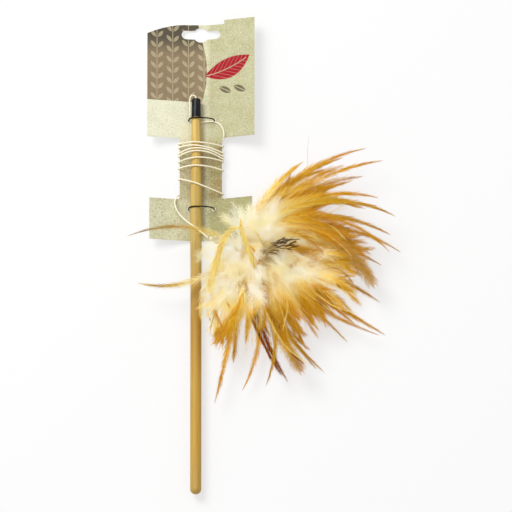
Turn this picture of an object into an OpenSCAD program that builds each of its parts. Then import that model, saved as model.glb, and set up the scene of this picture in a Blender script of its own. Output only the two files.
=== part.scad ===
/* [Dowel] */
// Diameter of the parallel grip
grip_d = 9.2; // [8:0.1:9.6]
// Length of the grip, from the start of its rounded end
grip_len = 190; // [160:1:200]
// Length of the rounded end of the grip
grip_round = 4.3; // [2:0.1:6]
// Length over which the dowel swells from the grip to its middle
swell_len = 15; // [10:1:20]
// Diameter of the parallel middle that the card and the cord are fastened to
middle_d = 9.6; // [9:0.1:10]
// Length of the middle
middle_len = 50; // [40:1:60]
// Length of the taper between the middle and the cap
taper_len = 64.8; // [50:0.2:75]
// Diameter of the dowel where it enters the cap
taper_d = 7.2; // [6.8:0.1:7.8]
// Diameter of the spigot inside the cap
spigot_d = 6.4; // [5.6:0.1:6.6]
// Length of the spigot
spigot_len = 11; // [7:0.5:11.5]

/* [End cap] */
// Length of the cap
cap_len = 16.2; // [15.8:0.1:20]
// Wall of the cap's side
cap_wall = 0.7; // [0.5:0.05:1]
// Thickness of the cap's closed end
cap_end = 1.2; // [0.8:0.1:1.5]
// How much the cap's radius falls towards its closed end
cap_draft = 0.3; // [0:0.05:0.4]
// Radius of the cap's rounded edge
cap_round = 1.2; // [0.5:0.1:1.6]
// Clearance between the cap and the spigot
cap_fit = 0.05; // [0.02:0.01:0.1]

/* [Cord] */
// Diameter of the cord
cord_d = 1.2; // [1:0.05:1.3]
// Clearance between the cord and what it lies on
cord_gap = 0.1; // [0.05:0.01:0.2]
// Clearance round a point where the cord hinges
hinge_gap = 0.3; // [0.2:0.05:0.5]
// Turns in each knot
knot_turns = 3; // [2:1:4]
// Radius of a knot
knot_r = 1.9; // [1.5:0.1:2.3]

/* [Header card] */
// Thickness of the board
card_t = 0.55; // [0.4:0.05:0.8]
// Width of the header, seen from above
header_w = 88.8; // [76:0.2:100]
// Height of the header at its middle
header_h = 98.9; // [85:0.1:110]
// How far the card's centre line lies to the right of the dowel
card_shift = 3.9; // [2:0.1:5]
// Width of the flat strip behind the dowel
flat_w = 15; // [12:0.5:20]
// Half-length of the soft bend between the strip and a wing
bend_run = 3; // [1:0.1:4]
// Rise of the left wing in degrees
left_rise = 13; // [5:0.5:18]
// Rise of the right wing in degrees
right_rise = 19; // [8:0.5:22]
// How far the header's left edge stops below its middle
arch_drop = 9.5; // [4:0.5:16]
// Width of the raised corner panel
corner_w = 25.2; // [15:0.2:30]
// Height of the raised corner panel above the header's middle
corner_h = 3.3; // [1:0.1:6]
// Height of the neck that the cord is wound on
neck_h = 53; // [45:0.5:65]
// Width of the neck
neck_w = 35; // [32:0.2:42]
// Radius of the four inside corners of the neck
neck_round = 2; // [1:0.1:4]
// Width of the lower tab
tab_w = 85; // [70:0.5:95]
// Height of the lower tab
tab_h = 35.5; // [28:0.5:45]
// Clearance between the dowel and the card
under_gap = 0.5; // [0.4:0.05:1]

/* [Hang slot] */
// Overall width of the slot
slot_w = 32; // [28:0.5:36]
// Height of the slot's two arms
slot_h = 7.4; // [5:0.1:9]
// Diameter of the slot's middle
slot_hump_d = 12.6; // [10:0.1:14]
// Distance from the header's top edge to the middle of the slot
slot_drop = 8.8; // [8:0.1:14]

/* [Ties] */
// Diameter of the tie thread
tie_d = 1.05; // [0.8:0.05:1.2]
// Diameter of the four punched holes for the ties
tie_hole_d = 1.6; // [1.4:0.1:2]
// Distance from the dowel's axis to the left holes
tie_left = 6.2; // [6:0.1:7]
// Distance from the dowel's axis to the right holes
tie_right = 15; // [12:0.1:18]
// Distance from the cap's mouth down to the upper tie
upper_tie_drop = 1.2; // [1:0.1:2]
// Distance from the upper tie down to the header's lower edge
upper_tie_inset = 15.6; // [14:0.1:20]
// Distance from the tab's upper edge down to the lower tie
lower_tie_inset = 8.5; // [6:0.5:14]

/* [Lure] */
// Distance from the dowel's axis to the lure's knot
lure_x = 9.9; // [8:0.1:14]
// Height of the lure's knot above the dowel's axis
lure_z = 12.5; // [12:0.1:16]
// Distance from the tab's lower edge down to the lure's knot
lure_drop = 2.5; // [1:0.1:8]
// Direction of the binding in degrees
binding_turn = -13; // [-16:1:-10]
// Radius of the thread-wrapped binding
binding_r = 3.4; // [2.8:0.1:3.5]
// Distance from the knot's centre to the middle of the quill ball
binding_len = 27; // [22:0.5:32]
// Turns of thread on the binding
thread_turns = 12; // [6:1:16]
// Radius of the ball of gathered quill ends
ball_r = 6.2; // [6:0.1:8]
// Length of the longest hackle
hackle_len = 135; // [110:1:150]
// Width of the widest vane
hackle_w = 13; // [8:0.5:14]
// Thickness of a quill at its root
quill_t = 0.6; // [0.4:0.05:0.65]
// Height over which the quills leave the ball
root_spread = 9.6; // [9:0.1:10]
// Distance from the ball at which the hackles stand highest
crown_r = 60; // [45:1:80]
// Rise of the topmost hackles above their roots
crown_rise = 13; // [10:0.5:24]
// Fall of the topmost hackles from the crown to their tips
crown_drop = 8; // [2:0.5:9]
// Clearance between a quill's root and the ball
root_gap = 0.25; // [0.15:0.05:0.4]

/* [Hidden] */
overrun = 1;
fine = 64;
ring_sides = 6;
cord_sides = 8;
arc_steps = 6;

// Heights along the wand
mouth_y = grip_len + swell_len + middle_len + taper_len;
cap_top_y = mouth_y + cap_len;
upper_tie_y = mouth_y - upper_tie_drop;
header_y = upper_tie_y - upper_tie_inset;
header_top_y = header_y + header_h;
tab_top_y = header_y - neck_h;
tab_y = tab_top_y - tab_h;
lower_tie_y = tab_top_y - lower_tie_inset;
lure_y = tab_y - lure_drop;

// Radius of the dowel at the ends of its stretches
dowel_stations = [
    [0, grip_d / 2], [grip_len, grip_d / 2], [grip_len + swell_len, middle_d / 2],
    [mouth_y - taper_len, middle_d / 2], [mouth_y, taper_d / 2]
];
function dowel_r(y) = lookup(y, dowel_stations);

// Radii of the cord and of what it passes
cord_r = cord_d / 2;
tie_r = tie_d / 2;
cap_bore_r = spigot_d / 2 + cap_fit;
knot_len = knot_turns * knot_r * 0.58;

// Levels: the card lies under the dowel and the back strands under the card
card_z = -middle_d / 2 - under_gap;
strand_z = card_z - card_t - cord_gap - cord_r;
floor_z = strand_z - cord_r + cord_d / 10;

// The card's edges across
header_x = [card_shift - header_w / 2, card_shift + header_w / 2];
neck_x = [card_shift - neck_w / 2, card_shift + neck_w / 2];
tab_x = [card_shift - tab_w / 2, card_shift + tab_w / 2];
left_bend_x = card_shift - flat_w / 2;
right_bend_x = card_shift + flat_w / 2;

// Cord from the cap round to the neck, measured from the cap's mouth
lead_route = [
    [0, 14.9, 0], [0, 16.2, 0], [-0.2, 17.6, 0.1], [-1.2, 18.9, 0.2], [-2.8, 19.3, 0.3],
    [-4.3, 18.4, 0.3], [-5, 16.7, 0.3], [-5.2, 14, 0.4], [-5.1, 10, 0.5], [-5, 5, 0.3],
    [-5, 1.8, -0.2], [-4.9, 0.2, -0.9], [-4.75, -1.2, -1.8], [-3.9, -2.4, -3],
    [-2.2, -3, -3.95], [0, -3.2, -4.4], [2.6, -3, -4.4], [5.2, -2.6, -4.4],
    [8, -2.3, -4.45], [10.8, -2.1, -4.3], [13.2, -2.3, -3.75], [16, -3.1, -2.75],
    [18.8, -4.7, -1.75], [21, -7.2, -1], [22.4, -10.3, -0.5], [22.9, -12, -0.3],
    [23, -13.3, -0.2], [23, -14.6, -0.2]
];

// Where that cord turns behind the neck, measured from the header's lower edge
turn_route = [
    [23, 2.2, -0.2], [23, 1, -0.2], [22.95, 0, -0.4], [22.8, -0.9, -1.25],
    [22.6, -1.5, -2.15], [21.8, -1.9, -3.05]
];

// Heights of the seven turns, as shares of the neck's height from its top:
// at the left edge, over the dowel and at the right edge
left_shares = [0.106, 0.164, 0.26, 0.309, 0.4, 0.506, 0.677, 0.936];
over_shares = [0.108, 0.162, 0.206, 0.25, 0.36, 0.49, 0.783];
right_shares = [0.03, 0.151, 0.257, 0.313, 0.355, 0.396, 0.542, 0.925];

// Cord from the neck over the dowel to the lure, measured from the tab's upper edge
tail_route = [
    [-16.5, 0.2, -1.1], [-17.2, -1.8, -0.4], [-17.5, -4.2, 0.3], [-16.9, -7.6, 1],
    [-15.6, -11.2, 1.8], [-13.6, -14.6, 2.8], [-11, -18, 4], [-8, -21.2, 5.4],
    [-4.8, -24.1, 6.7], [-1.5, -26.8, 7.9], [1.6, -29.5, 9], [4.4, -32.2, 10.2],
    [6.9, -34.8, 11.3], [8.6, -36.6, 12], [lure_x, lure_y - tab_top_y, lure_z]
];
tail_root = tail_route[0] + [0, tab_top_y, 0];
tail_dir = unit(tail_route[1] - tail_route[0]);

// Radius and centres of the cord's bend round the neck's edges
edge_r = 1.7;
edge_stand = 1.3;
left_front_turn = 130;
right_front_turn = 65;
front_power = 1.9;
front_steps = 8;

// The hackles: layer from the bottom, direction in degrees, length as a share of the longest,
// sweep in degrees, width as a share of the widest
hackle_shares = [
    [0, -31, 1, -2, 0.8], [0, -21, 0.89, -28, 0.75], [0, -58, 0.84, 15, 0.75],
    [1, -34, 0.81, -15, 0.85], [1, -2, 0.48, -30, 0.9], [1, -56, 0.9, 28, 0.7],
    [2, -7, 0.85, -50, 0.85], [2, -42, 0.84, -10, 0.7], [2, -87, 0.56, -20, 0.9],
    [3, -14, 0.71, -50, 0.9], [3, -52, 0.5, 0, 0.95], [3, -97, 0.4, 0, 0.9],
    [4, -29, 0.63, -20, 0.9], [4, -90, 0.9, -55, 0.75], [4, -108, 0.35, 20, 0.8],
    [5, 12, 0.73, -50, 0.85], [5, -48, 0.67, -10, 0.85], [5, -72, 0.56, 10, 0.85],
    [6, 31, 0.76, -30, 0.85], [6, -33, 0.98, 28, 0.7], [6, -99, 0.96, -12, 0.8],
    [7, 41, 0.82, -45, 0.8], [7, -3, 0.98, -60, 0.75], [7, -71, 0.87, 22, 0.85],
    [7, -114, 0.52, 60, 0.8],
    [8, 3, 0.93, -65, 0.8], [8, -59, 0.73, -10, 0.85], [8, -160, 0.67, -70, 0.75],
    [9, 38, 0.97, -48, 0.75], [9, -19, 0.92, -90, 1], [9, -65, 0.85, 10, 1],
    [9, -94, 0.62, 90, 0.6],
    [10, 31, 1, -40, 0.8], [10, -81, 0.92, -60, 0.8],
    [11, 18, 0.89, -60, 0.8],
    [12, 52, 0.6, -30, 0.85], [12, -5, 0.97, -85, 0.75],
    [13, 67, 0.36, -20, 0.8], [13, 9, 0.99, -70, 0.85], [13, -60, 0.28, -100, 0.7],
    [13, -138, 0.37, 120, 0.6],
    [14, 98, 0.28, -10, 0.6], [14, 50, 0.33, -10, 0.6], [14, 179, 0.67, 43, 0.8]
];
top_layer = max([for (row = hackle_shares) row[0]]);

// Half-width of a vane along its length, as shares of the full half-width
vane_shares = [
    [0, 0], [0.05, 0.02], [0.1, 0.45], [0.18, 0.95], [0.28, 1], [0.4, 0.88], [0.55, 0.76],
    [0.7, 0.62], [0.82, 0.47], [0.92, 0.26], [1, 0]
];
quill_w = quill_t * 1.3;
tip_t = quill_t * 0.4;
tip_w = quill_w * 0.3;
low_end_z = floor_z + quill_t + cord_gap;
fall_start = ball_r * 1.3;
fall_run = crown_r - fall_start;
fan_at = [
    lure_x + binding_len * cos(binding_turn),
    lure_y + binding_len * sin(binding_turn),
    lure_z
];

function hackle_name(i) = str("hackle_", i < 9 ? "0" : "", i + 1);

function unit(v) = v / norm(v);
function mix(a, b, share) = a * (1 - share) + b * share;
function clamp(x) = min(1, max(0, x));
function ease(x) = clamp(x) * clamp(x) * (3 - 2 * clamp(x));
function last(list) = list[len(list) - 1];

// Points of an arc in a plane, as [across, up]
function arc(centre, r, from, to, steps) =
    [for (i = [0 : steps]) centre + r * [cos(mix(from, to, i / steps)), sin(mix(from, to, i / steps))]];

// Triangles of a tube of rings, closed at both ends
function tube_faces(rings, sides) = concat(
    [for (i = [0 : rings - 2], j = [0 : sides - 1])
        [i * sides + j, (i + 1) * sides + j, i * sides + (j + 1) % sides]],
    [for (i = [0 : rings - 2], j = [0 : sides - 1])
        [i * sides + (j + 1) % sides, (i + 1) * sides + j, (i + 1) * sides + (j + 1) % sides]],
    [for (j = [1 : sides - 2]) [0, j, j + 1]],
    [for (j = [1 : sides - 2]) [(rings - 1) * sides, (rings - 1) * sides + j + 1, (rings - 1) * sides + j]]
);

// Direction of a route at one of its points
function heading(route, i) =
    unit(route[min(i + 1, len(route) - 1)] - route[max(i - 1, 0)]);

// Normals carried along a route without twist
function square_to(v, along) = unit(v - (v * along) * along);
function normals(route, start) = [
    for (i = 0, n = square_to(start, heading(route, 0)); i < len(route);
        i = i + 1, n = i < len(route) ? square_to(n, heading(route, i)) : n) n
];

// Rings round a route, none of them lower than the given level
function rings(route, r, sides, start, lowest) = let (across = normals(route, start)) [
    for (i = [0 : len(route) - 1], j = [0 : sides - 1])
        let (a = 360 * j / sides,
            p = route[i] + r * (across[i] * cos(a) + cross(heading(route, i), across[i]) * sin(a)))
        [p[0], p[1], max(p[2], lowest)]
];

module tube(route, r, sides, start, lowest) {
    polyhedron(rings(route, r, sides, start, lowest), tube_faces(len(route), sides), convexity = 12);
}

// Level of the card's front face across its width
function bend_rise(d, rise) =
    d <= -bend_run ? 0 : (d >= bend_run ? d : pow(d + bend_run, 2) / (4 * bend_run)) * tan(rise);
function card_front(x) =
    card_z + bend_rise(x - right_bend_x, right_rise) + bend_rise(left_bend_x - x, left_rise);

// The dowel: rounded at the grip, a little thicker in the middle and tapering into the cap
module dowel() {
    profile = concat(
        [[0, -grip_round]],
        [for (i = [1 : arc_steps + 2])
            let (a = 90 * i / (arc_steps + 2)) [grip_d / 2 * sin(a), -grip_round * cos(a)]],
        [for (i = [1 : len(dowel_stations) - 1]) [dowel_stations[i][1], dowel_stations[i][0]]],
        [[spigot_d / 2, mouth_y], [spigot_d / 2, mouth_y + spigot_len], [0, mouth_y + spigot_len]]
    );
    color("burlywood")
    rotate([-90, 0, 0])
    rotate_extrude($fn = fine)
    polygon(profile);
}

// The soft cap, hollow down to the spigot, with the cord's hole in its closed end
module end_cap() {
    outer_r = cap_bore_r + cap_wall;
    top_r = outer_r - cap_draft;
    profile = concat(
        [[cap_bore_r, mouth_y], [outer_r, mouth_y], [top_r, cap_top_y - cap_round]],
        arc([top_r - cap_round, cap_top_y - cap_round], cap_round, 0, 90, arc_steps),
        [[cord_r + cord_gap, cap_top_y], [cord_r + cord_gap, cap_top_y - cap_end],
            [cap_bore_r - cap_draft, cap_top_y - cap_end], [cap_bore_r, cap_top_y - cap_end - cap_round]]
    );
    color("#26262b")
    rotate([-90, 0, 0])
    rotate_extrude($fn = fine)
    polygon(profile);
}

// A stopper knot: turns of cord side by side, as a revolved ridged barrel along +Y
module barrel_knot() {
    pitch = knot_len / knot_turns;
    ridge = knot_r * 0.22;
    color("#efe6c8")
    rotate([-90, 0, 0])
    rotate_extrude($fn = fine)
    polygon(concat(
        [[0, 0]],
        [for (t = [0 : knot_turns - 1], i = [0 : arc_steps])
            let (a = 180 * i / arc_steps)
            [knot_r - ridge + ridge * sin(a), (t + (1 - cos(a)) / 2) * pitch]],
        [[0, knot_len]]
    ));
}

// The knot that stops the cord inside the cap
module cap_knot() {
    translate([0, cap_top_y - cap_end - cord_gap - knot_len, 0])
    barrel_knot();
}

// Outline of the card, seen from above
module card_outline() {
    top = header_top_y;
    step_x = header_x[1] - corner_w;
    r = neck_round;
    polygon(concat(
        [[header_x[0], header_y]],
        [for (i = [0 : arc_steps])
            let (s = i / arc_steps)
            [mix(header_x[0], left_bend_x, s), top - arch_drop * (1 - s) * (1 - s)]],
        [[step_x, top], [step_x, top + corner_h], [header_x[1], top + corner_h],
            [header_x[1], header_y]],
        arc([neck_x[1] + r, header_y - r], r, 90, 180, arc_steps),
        arc([neck_x[1] + r, tab_top_y + r], r, 180, 270, arc_steps),
        [[tab_x[1], tab_top_y], [tab_x[1], tab_y], [tab_x[0], tab_y], [tab_x[0], tab_top_y]],
        arc([neck_x[0] - r, tab_top_y + r], r, 270, 360, arc_steps),
        arc([neck_x[0] - r, header_y - r], r, 0, 90, arc_steps)
    ));
}

// The hang slot: two round-ended arms and a round middle
module hang_slot() {
    translate([card_shift, header_top_y - slot_drop]) {
        square([slot_w - slot_h, slot_h], center = true);
        for (side = [-1, 1])
            translate([side * (slot_w - slot_h) / 2, 0])
            circle(slot_h / 2, $fn = fine);
        circle(slot_hump_d / 2, $fn = fine);
    }
}

// The card, bent into a shallow trough that the dowel lies in
module header_card() {
    low = card_z - card_t - overrun;
    high = card_front(header_x[1]) + overrun;
    across = concat(
        [header_x[0] - overrun],
        [for (i = [0 : arc_steps]) left_bend_x + bend_run * (2 * i / arc_steps - 1)],
        [for (i = [0 : arc_steps]) right_bend_x + bend_run * (2 * i / arc_steps - 1)],
        [header_x[1] + overrun]
    );
    count = len(across);
    color("#cfc49c")
    difference() {
        intersection() {
            translate([0, header_top_y + corner_h + overrun, 0])
            rotate([90, 0, 0])
            linear_extrude(header_top_y + corner_h - tab_y + 2 * overrun)
            polygon(concat(
                [for (x = across) [x, card_front(x)]],
                [for (i = [1 : count]) [across[count - i], card_front(across[count - i]) - card_t]]
            ));
            translate([0, 0, low])
            linear_extrude(high - low)
            card_outline();
        }
        translate([0, 0, low])
        linear_extrude(high - low)
        hang_slot();
        for (x = [-tie_left, tie_right], y = [upper_tie_y, lower_tie_y])
            translate([x, y, low])
            cylinder(d = tie_hole_d, h = high - low, $fn = fine);
    }
}

// Half of a tie's arch over the dowel, from a hole at x to the top
function arch_point(x, top, a) = let (foot = card_front(x))
    [x * pow(cos(a), 0.8), foot + (top - foot) * pow(sin(a), 0.8)];

// A tie: one closed thread through two holes, over the dowel and along the card's back
module tie(y) {
    top = dowel_r(y) + tie_r + cord_gap;
    back = card_z - card_t - cord_gap - tie_r;
    steps = 6;
    left = [for (i = [0 : steps]) arch_point(-tie_left, top, 90 * i / steps)];
    right = [for (i = [1 : steps]) arch_point(tie_right, top, 90 - 90 * i / steps)];
    under = [
        [tie_right, card_front(tie_right) - card_t],
        [tie_right - tie_r, card_front(tie_right - tie_d) - card_t - tie_r - cord_gap],
        [right_bend_x - tie_r, back], [card_shift, back], [left_bend_x + tie_r, back],
        [-tie_left + tie_r, back], [-tie_left, back + tie_r]
    ];
    path = [for (p = concat(left, right, under)) [p[0], y, p[1]]];
    count = len(path);
    points = [
        for (i = [0 : count - 1], j = [0 : ring_sides - 1])
            let (along = unit(path[(i + 1) % count] - path[(i + count - 1) % count]),
                a = 360 * j / ring_sides)
            path[i] + tie_r * ([0, cos(a), 0] + cross(along, [0, 1, 0]) * sin(a))
    ];
    color("#1a1a1c")
    polyhedron(points, [
        for (i = [0 : count - 1], j = [0 : ring_sides - 1], half = [0, 1])
            let (near = i * ring_sides, far = ((i + 1) % count) * ring_sides, k = (j + 1) % ring_sides)
            half == 0 ? [near + j, far + j, near + k] : [near + k, far + j, far + k]
    ], convexity = 12);
}

module upper_tie() {
    tie(upper_tie_y);
}

module lower_tie() {
    tie(lower_tie_y);
}

// The cord out of the cap, down beside it and across under the dowel
module cord_lead() {
    color("#efe6c8")
    translate([0, mouth_y, 0])
    tube(lead_route, cord_r, cord_sides, [1, 0, 0], floor_z);
}

// Level of the cord on the card's back at one place across it
function strand_level(x, rise) = card_front(x) - (card_t + cord_gap + cord_r) / cos(rise);

// Middle of the cord's bend round each edge of the neck
left_foot = neck_x[0] - edge_stand + edge_r * (1 - sin(left_rise));
right_foot = neck_x[1] + edge_stand - edge_r * (1 - sin(right_rise));
left_centre = [left_foot, strand_level(left_foot, left_rise)]
    + edge_r * [sin(left_rise), cos(left_rise)];
right_centre = [right_foot, strand_level(right_foot, right_rise)]
    + edge_r * [-sin(right_rise), cos(right_rise)];
left_arc = arc(left_centre, edge_r, 270 - left_rise, left_front_turn, 4);
right_arc = arc(right_centre, edge_r, right_front_turn, right_rise - 90, 4);

// Level of the cord where it passes over the dowel in front of the neck
function front_level(x, y) = let (foot = x < 0 ? last(left_arc) : right_arc[0])
    mix(dowel_r(y) + cord_r + hinge_gap, foot[1], pow(x / foot[0], front_power));

function neck_y(share) = header_y - neck_h * share;

// Height of a front strand: a curve through its left edge, its crossing and its right edge
function front_y(turn, u) = let (
    left = neck_y(left_shares[turn - 1]),
    over = neck_y(over_shares[turn - 1]),
    right = neck_y(right_shares[turn]),
    m = last(left_arc)[0] / (last(left_arc)[0] - right_arc[0][0])
) mix(left, right, u) + (over - mix(left, right, m)) * u * (1 - u) / (m * (1 - m));

// One pass behind the neck, from the right edge to the left
function back_pass(turn) = [
    for (bend = [[right_bend_x, right_rise], [left_bend_x, left_rise]], step = [-1, 0, 1])
        let (x = bend[0] - step * bend_run,
            u = (right_foot - x) / (right_foot - left_foot),
            rise = bend[1] * (1 - (bend[0] == right_bend_x ? step : -step)) / 2)
        [x, neck_y(mix(right_shares[turn - 1], left_shares[turn - 1], u)), strand_level(x, rise)]
];

// One whole turn: behind the neck, round its left edge, over the dowel, round its right edge
function turn_points(turn) = concat(
    back_pass(turn),
    [for (p = left_arc) [p[0], neck_y(left_shares[turn - 1]), p[1]]],
    [for (i = [1 : front_steps])
        let (u = i / (front_steps + 1), x = mix(last(left_arc)[0], right_arc[0][0], u),
            y = front_y(turn, u))
        [x, y, front_level(x, y)]],
    [for (p = right_arc) [p[0], neck_y(right_shares[turn]), p[1]]]
);

turns = len(over_shares);
winding_end = tail_root - (cord_r + hinge_gap) * tail_dir;
winding_route = concat(
    [for (p = turn_route) p + [0, header_y, 0]],
    [for (turn = [1 : turns]) each turn_points(turn)],
    back_pass(turns + 1),
    [for (i = [0 : 2]) [left_arc[i][0], neck_y(left_shares[turns]), left_arc[i][1]]],
    [winding_end - cord_d * tail_dir, winding_end]
);

// Least clearance between points of a route that lie further than some steps apart along it
function self_gap(route, skip) = min([
    for (i = [0 : len(route) - 1 - skip], j = [i + skip : len(route) - 1]) norm(route[i] - route[j])
]) - cord_d;

// The cord wound round the dowel and the neck of the card
module cord_winding() {
    echo(winding_self_gap = self_gap(winding_route, 9));
    color("#efe6c8")
    tube(winding_route, cord_r, ring_sides, [1, 0, 0], floor_z);
}

// The free cord over the dowel to the lure
module cord_tail() {
    color("#efe6c8")
    translate([0, tab_top_y, 0])
    tube(tail_route, cord_r, cord_sides, [0, 0, 1], floor_z);
}

// Places what belongs to the lure, with its axis along +Y from the knot's centre
module on_lure() {
    translate([lure_x, lure_y, lure_z])
    rotate([0, 0, binding_turn - 90])
    children();
}

module lure_knot() {
    on_lure()
    translate([0, cord_r + hinge_gap, 0])
    barrel_knot();
}

// The thread-wrapped quills and the ball where the hackles spread
module quill_binding() {
    start = cord_r + hinge_gap + knot_len;
    waist = knot_r * 1.1;
    shoulder = start + binding_r;
    ball_start = binding_len - sqrt(pow(ball_r, 2) - pow(binding_r, 2));
    pitch = (ball_start - shoulder) / thread_turns;
    groove = min(pitch / 4, binding_r / 10);
    color("#d9cfae")
    on_lure()
    rotate([-90, 0, 0])
    rotate_extrude($fn = fine)
    polygon(concat(
        [[0, start], [waist, start]],
        arc([waist, shoulder], binding_r - waist, -70, 0, 3),
        [for (t = [0 : thread_turns - 1], half = [0, 1])
            half == 0 ? [binding_r - groove, shoulder + (t + 0.25) * pitch]
                : [binding_r, shoulder + (t + 0.75) * pitch]],
        arc([0, binding_len], ball_r, -acos(binding_r / ball_r), 84, arc_steps * 3),
        [[0, binding_len + ball_r]]
    ));
}

// Level of a layer of hackles at a distance from the middle of the ball
function low_level(r) =
    mix(lure_z - root_spread / 2, low_end_z, ease((r - fall_start) / fall_run));
function high_level(r) =
    lure_z + root_spread / 2 + crown_rise * ease((r - ball_r) / (crown_r - ball_r))
    - crown_drop * pow(max(0, r - crown_r) / (hackle_len - crown_r), 2);
function layer_level(layer, r) = mix(low_level(r), high_level(r), layer / top_layer);

// A point of a hackle's quill seen from above: a straight start off the ball and an even sweep
function quill_point(row, t) = let (
    from = row[1] - row[3] / 2,
    lift = root_spread * (row[0] / top_layer - 0.5),
    root = sqrt(pow(ball_r, 2) - pow(max(0, abs(lift) - quill_t / 2), 2)) + root_gap,
    along = hackle_len * row[2] * t,
    bow = row[3] * t,
    chord = bow == 0 ? along : along * sin(bow / 2) / (bow / 2 * PI / 180)
) [fan_at[0] + root * cos(from) + chord * cos(from + bow / 2),
    fan_at[1] + root * sin(from) + chord * sin(from + bow / 2)];

// A place on a layer, with a height above or below its level
function on_layer(layer, p, rise) =
    [p[0], p[1], layer_level(layer, norm(p - [fan_at[0], fan_at[1]])) + rise];

// One ring across a hackle: a thick quill with a vane that thins to both edges
function hackle_ring(row, station) = let (
    t = station[0],
    turn = row[1] - row[3] / 2 + row[3] * t,
    side = [-sin(turn), cos(turn)],
    p = quill_point(row, t),
    quill = mix(quill_w, tip_w, t) / 2,
    rise = mix(quill_t, tip_t, t) / 2,
    vane = quill * 1.3 + hackle_w * row[4] / 2 * station[1]
) [
    on_layer(row[0], p + side * vane, 0),
    on_layer(row[0], p + side * quill, rise),
    on_layer(row[0], p - side * quill, rise),
    on_layer(row[0], p - side * vane, 0),
    on_layer(row[0], p - side * quill, -rise),
    on_layer(row[0], p + side * quill, -rise)
];

module hackle(row) {
    color(row[0] % 2 == 0 ? "#d9993f" : "#ecd3a0")
    polyhedron([for (station = vane_shares) each hackle_ring(row, station)],
        tube_faces(len(vane_shares), 6), convexity = 12);
}

dowel();
end_cap();
cap_knot();
header_card();
upper_tie();
lower_tie();
cord_lead();
cord_winding();
cord_tail();
lure_knot();
quill_binding();
for (i = [0 : len(hackle_shares) - 1])
    hackle(hackle_shares[i]);
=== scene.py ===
import math
import bpy
import numpy as np
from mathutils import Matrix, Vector


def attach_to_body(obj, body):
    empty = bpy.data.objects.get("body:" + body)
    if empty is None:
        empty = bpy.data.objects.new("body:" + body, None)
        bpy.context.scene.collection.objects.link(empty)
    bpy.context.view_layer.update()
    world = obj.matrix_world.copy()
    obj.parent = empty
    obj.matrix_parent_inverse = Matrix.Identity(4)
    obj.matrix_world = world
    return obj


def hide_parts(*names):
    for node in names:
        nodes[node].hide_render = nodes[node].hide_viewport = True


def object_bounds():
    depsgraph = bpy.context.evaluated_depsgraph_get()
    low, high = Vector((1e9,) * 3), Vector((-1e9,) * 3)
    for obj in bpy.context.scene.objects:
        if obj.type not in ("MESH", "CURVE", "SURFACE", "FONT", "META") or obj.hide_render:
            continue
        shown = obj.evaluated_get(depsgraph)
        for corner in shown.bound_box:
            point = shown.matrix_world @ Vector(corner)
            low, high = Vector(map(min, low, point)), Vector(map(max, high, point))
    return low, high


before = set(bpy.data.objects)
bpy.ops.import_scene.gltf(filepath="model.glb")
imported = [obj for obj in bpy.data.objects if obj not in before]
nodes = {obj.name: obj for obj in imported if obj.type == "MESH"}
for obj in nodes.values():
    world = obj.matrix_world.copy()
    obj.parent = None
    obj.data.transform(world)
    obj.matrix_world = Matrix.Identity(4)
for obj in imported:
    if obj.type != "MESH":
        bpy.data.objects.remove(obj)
cadBox = [list(corner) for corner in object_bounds()]
mm = 0.001    # routes and sizes below are in millimetres
print("frame loaded with", len(nodes), "nodes")


def placed(name, data):
    # a new object in the scene
    made = bpy.data.objects.new(name, data)
    bpy.context.scene.collection.objects.link(made)
    return made


# The camera stands where the photograph was taken from: looking down along the wand
view = {"elevation": 73.0, "distance": 12000.0, "clipMetres": 50.0, "pixels": 512, "mmPerPixel": 0.825,
        "dowelPixelX": 196.0, "gripEndPixelY": 488.0}
viewTilt = math.radians(view["elevation"])


def makeCamera():
    half = view["pixels"] / 2
    target = Vector(((half - view["dowelPixelX"]) * view["mmPerPixel"],
                     (view["gripEndPixelY"] - half) * view["mmPerPixel"] / math.sin(viewTilt), 0))
    forward = Vector((0, math.cos(viewTilt), -math.sin(viewTilt)))
    lens = bpy.data.cameras.new("camera")
    lens.lens = lens.sensor_width * view["distance"] / (view["pixels"] * view["mmPerPixel"])
    lens.clip_end = view["clipMetres"]
    camera = placed("camera", lens)
    camera.location = (target - forward * view["distance"]) * mm
    camera.rotation_euler = (math.pi / 2 - viewTilt, 0, 0)
    bpy.context.scene.camera = camera


makeCamera()


# Curves and meshes shared by the pieces
def unit(v):
    return v / np.linalg.norm(v, axis=-1, keepdims=True)


def mix(a, b, share):
    return a * (1 - share) + b * share


def ease(x):
    x = np.clip(x, 0, 1)
    return x * x * (3 - 2 * x)


def evenly(points, step):
    # the same line with points an even step apart
    gaps = np.linalg.norm(np.diff(points, axis=0), axis=1)
    run = np.concatenate([[0], np.cumsum(gaps)])
    places = np.linspace(0, run[-1], max(2, int(round(run[-1] / step)) + 1))
    return np.stack([np.interp(places, run, points[:, k]) for k in range(3)], axis=1)


def smooth(route, step, closed=False):
    # a Catmull-Rom curve through the points of a route
    p = np.array(route, float)
    if closed:
        p = np.concatenate([p[-1:], p, p[:2]])
    else:
        p = np.concatenate([2 * p[:1] - p[1:2], p, 2 * p[-1:] - p[-2:-1]])
    knots = np.concatenate([[0], np.cumsum(np.sqrt(np.linalg.norm(np.diff(p, axis=0), axis=1)))])
    pieces = []
    for i in range(1, len(p) - 2):
        t0, t1, t2, t3 = knots[i - 1:i + 3]
        t = np.linspace(t1, t2, 12, endpoint=False)[:, None]
        a1 = mix(p[i - 1], p[i], (t - t0) / (t1 - t0))
        a2 = mix(p[i], p[i + 1], (t - t1) / (t2 - t1))
        a3 = mix(p[i + 1], p[i + 2], (t - t2) / (t3 - t2))
        b1 = mix(a1, a2, (t - t0) / (t2 - t0))
        b2 = mix(a2, a3, (t - t1) / (t3 - t1))
        pieces.append(mix(b1, b2, (t - t1) / (t2 - t1)))
    line = evenly(np.concatenate(pieces + [p[-2:-1]]), step)
    return line[:-1] if closed else line


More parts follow.
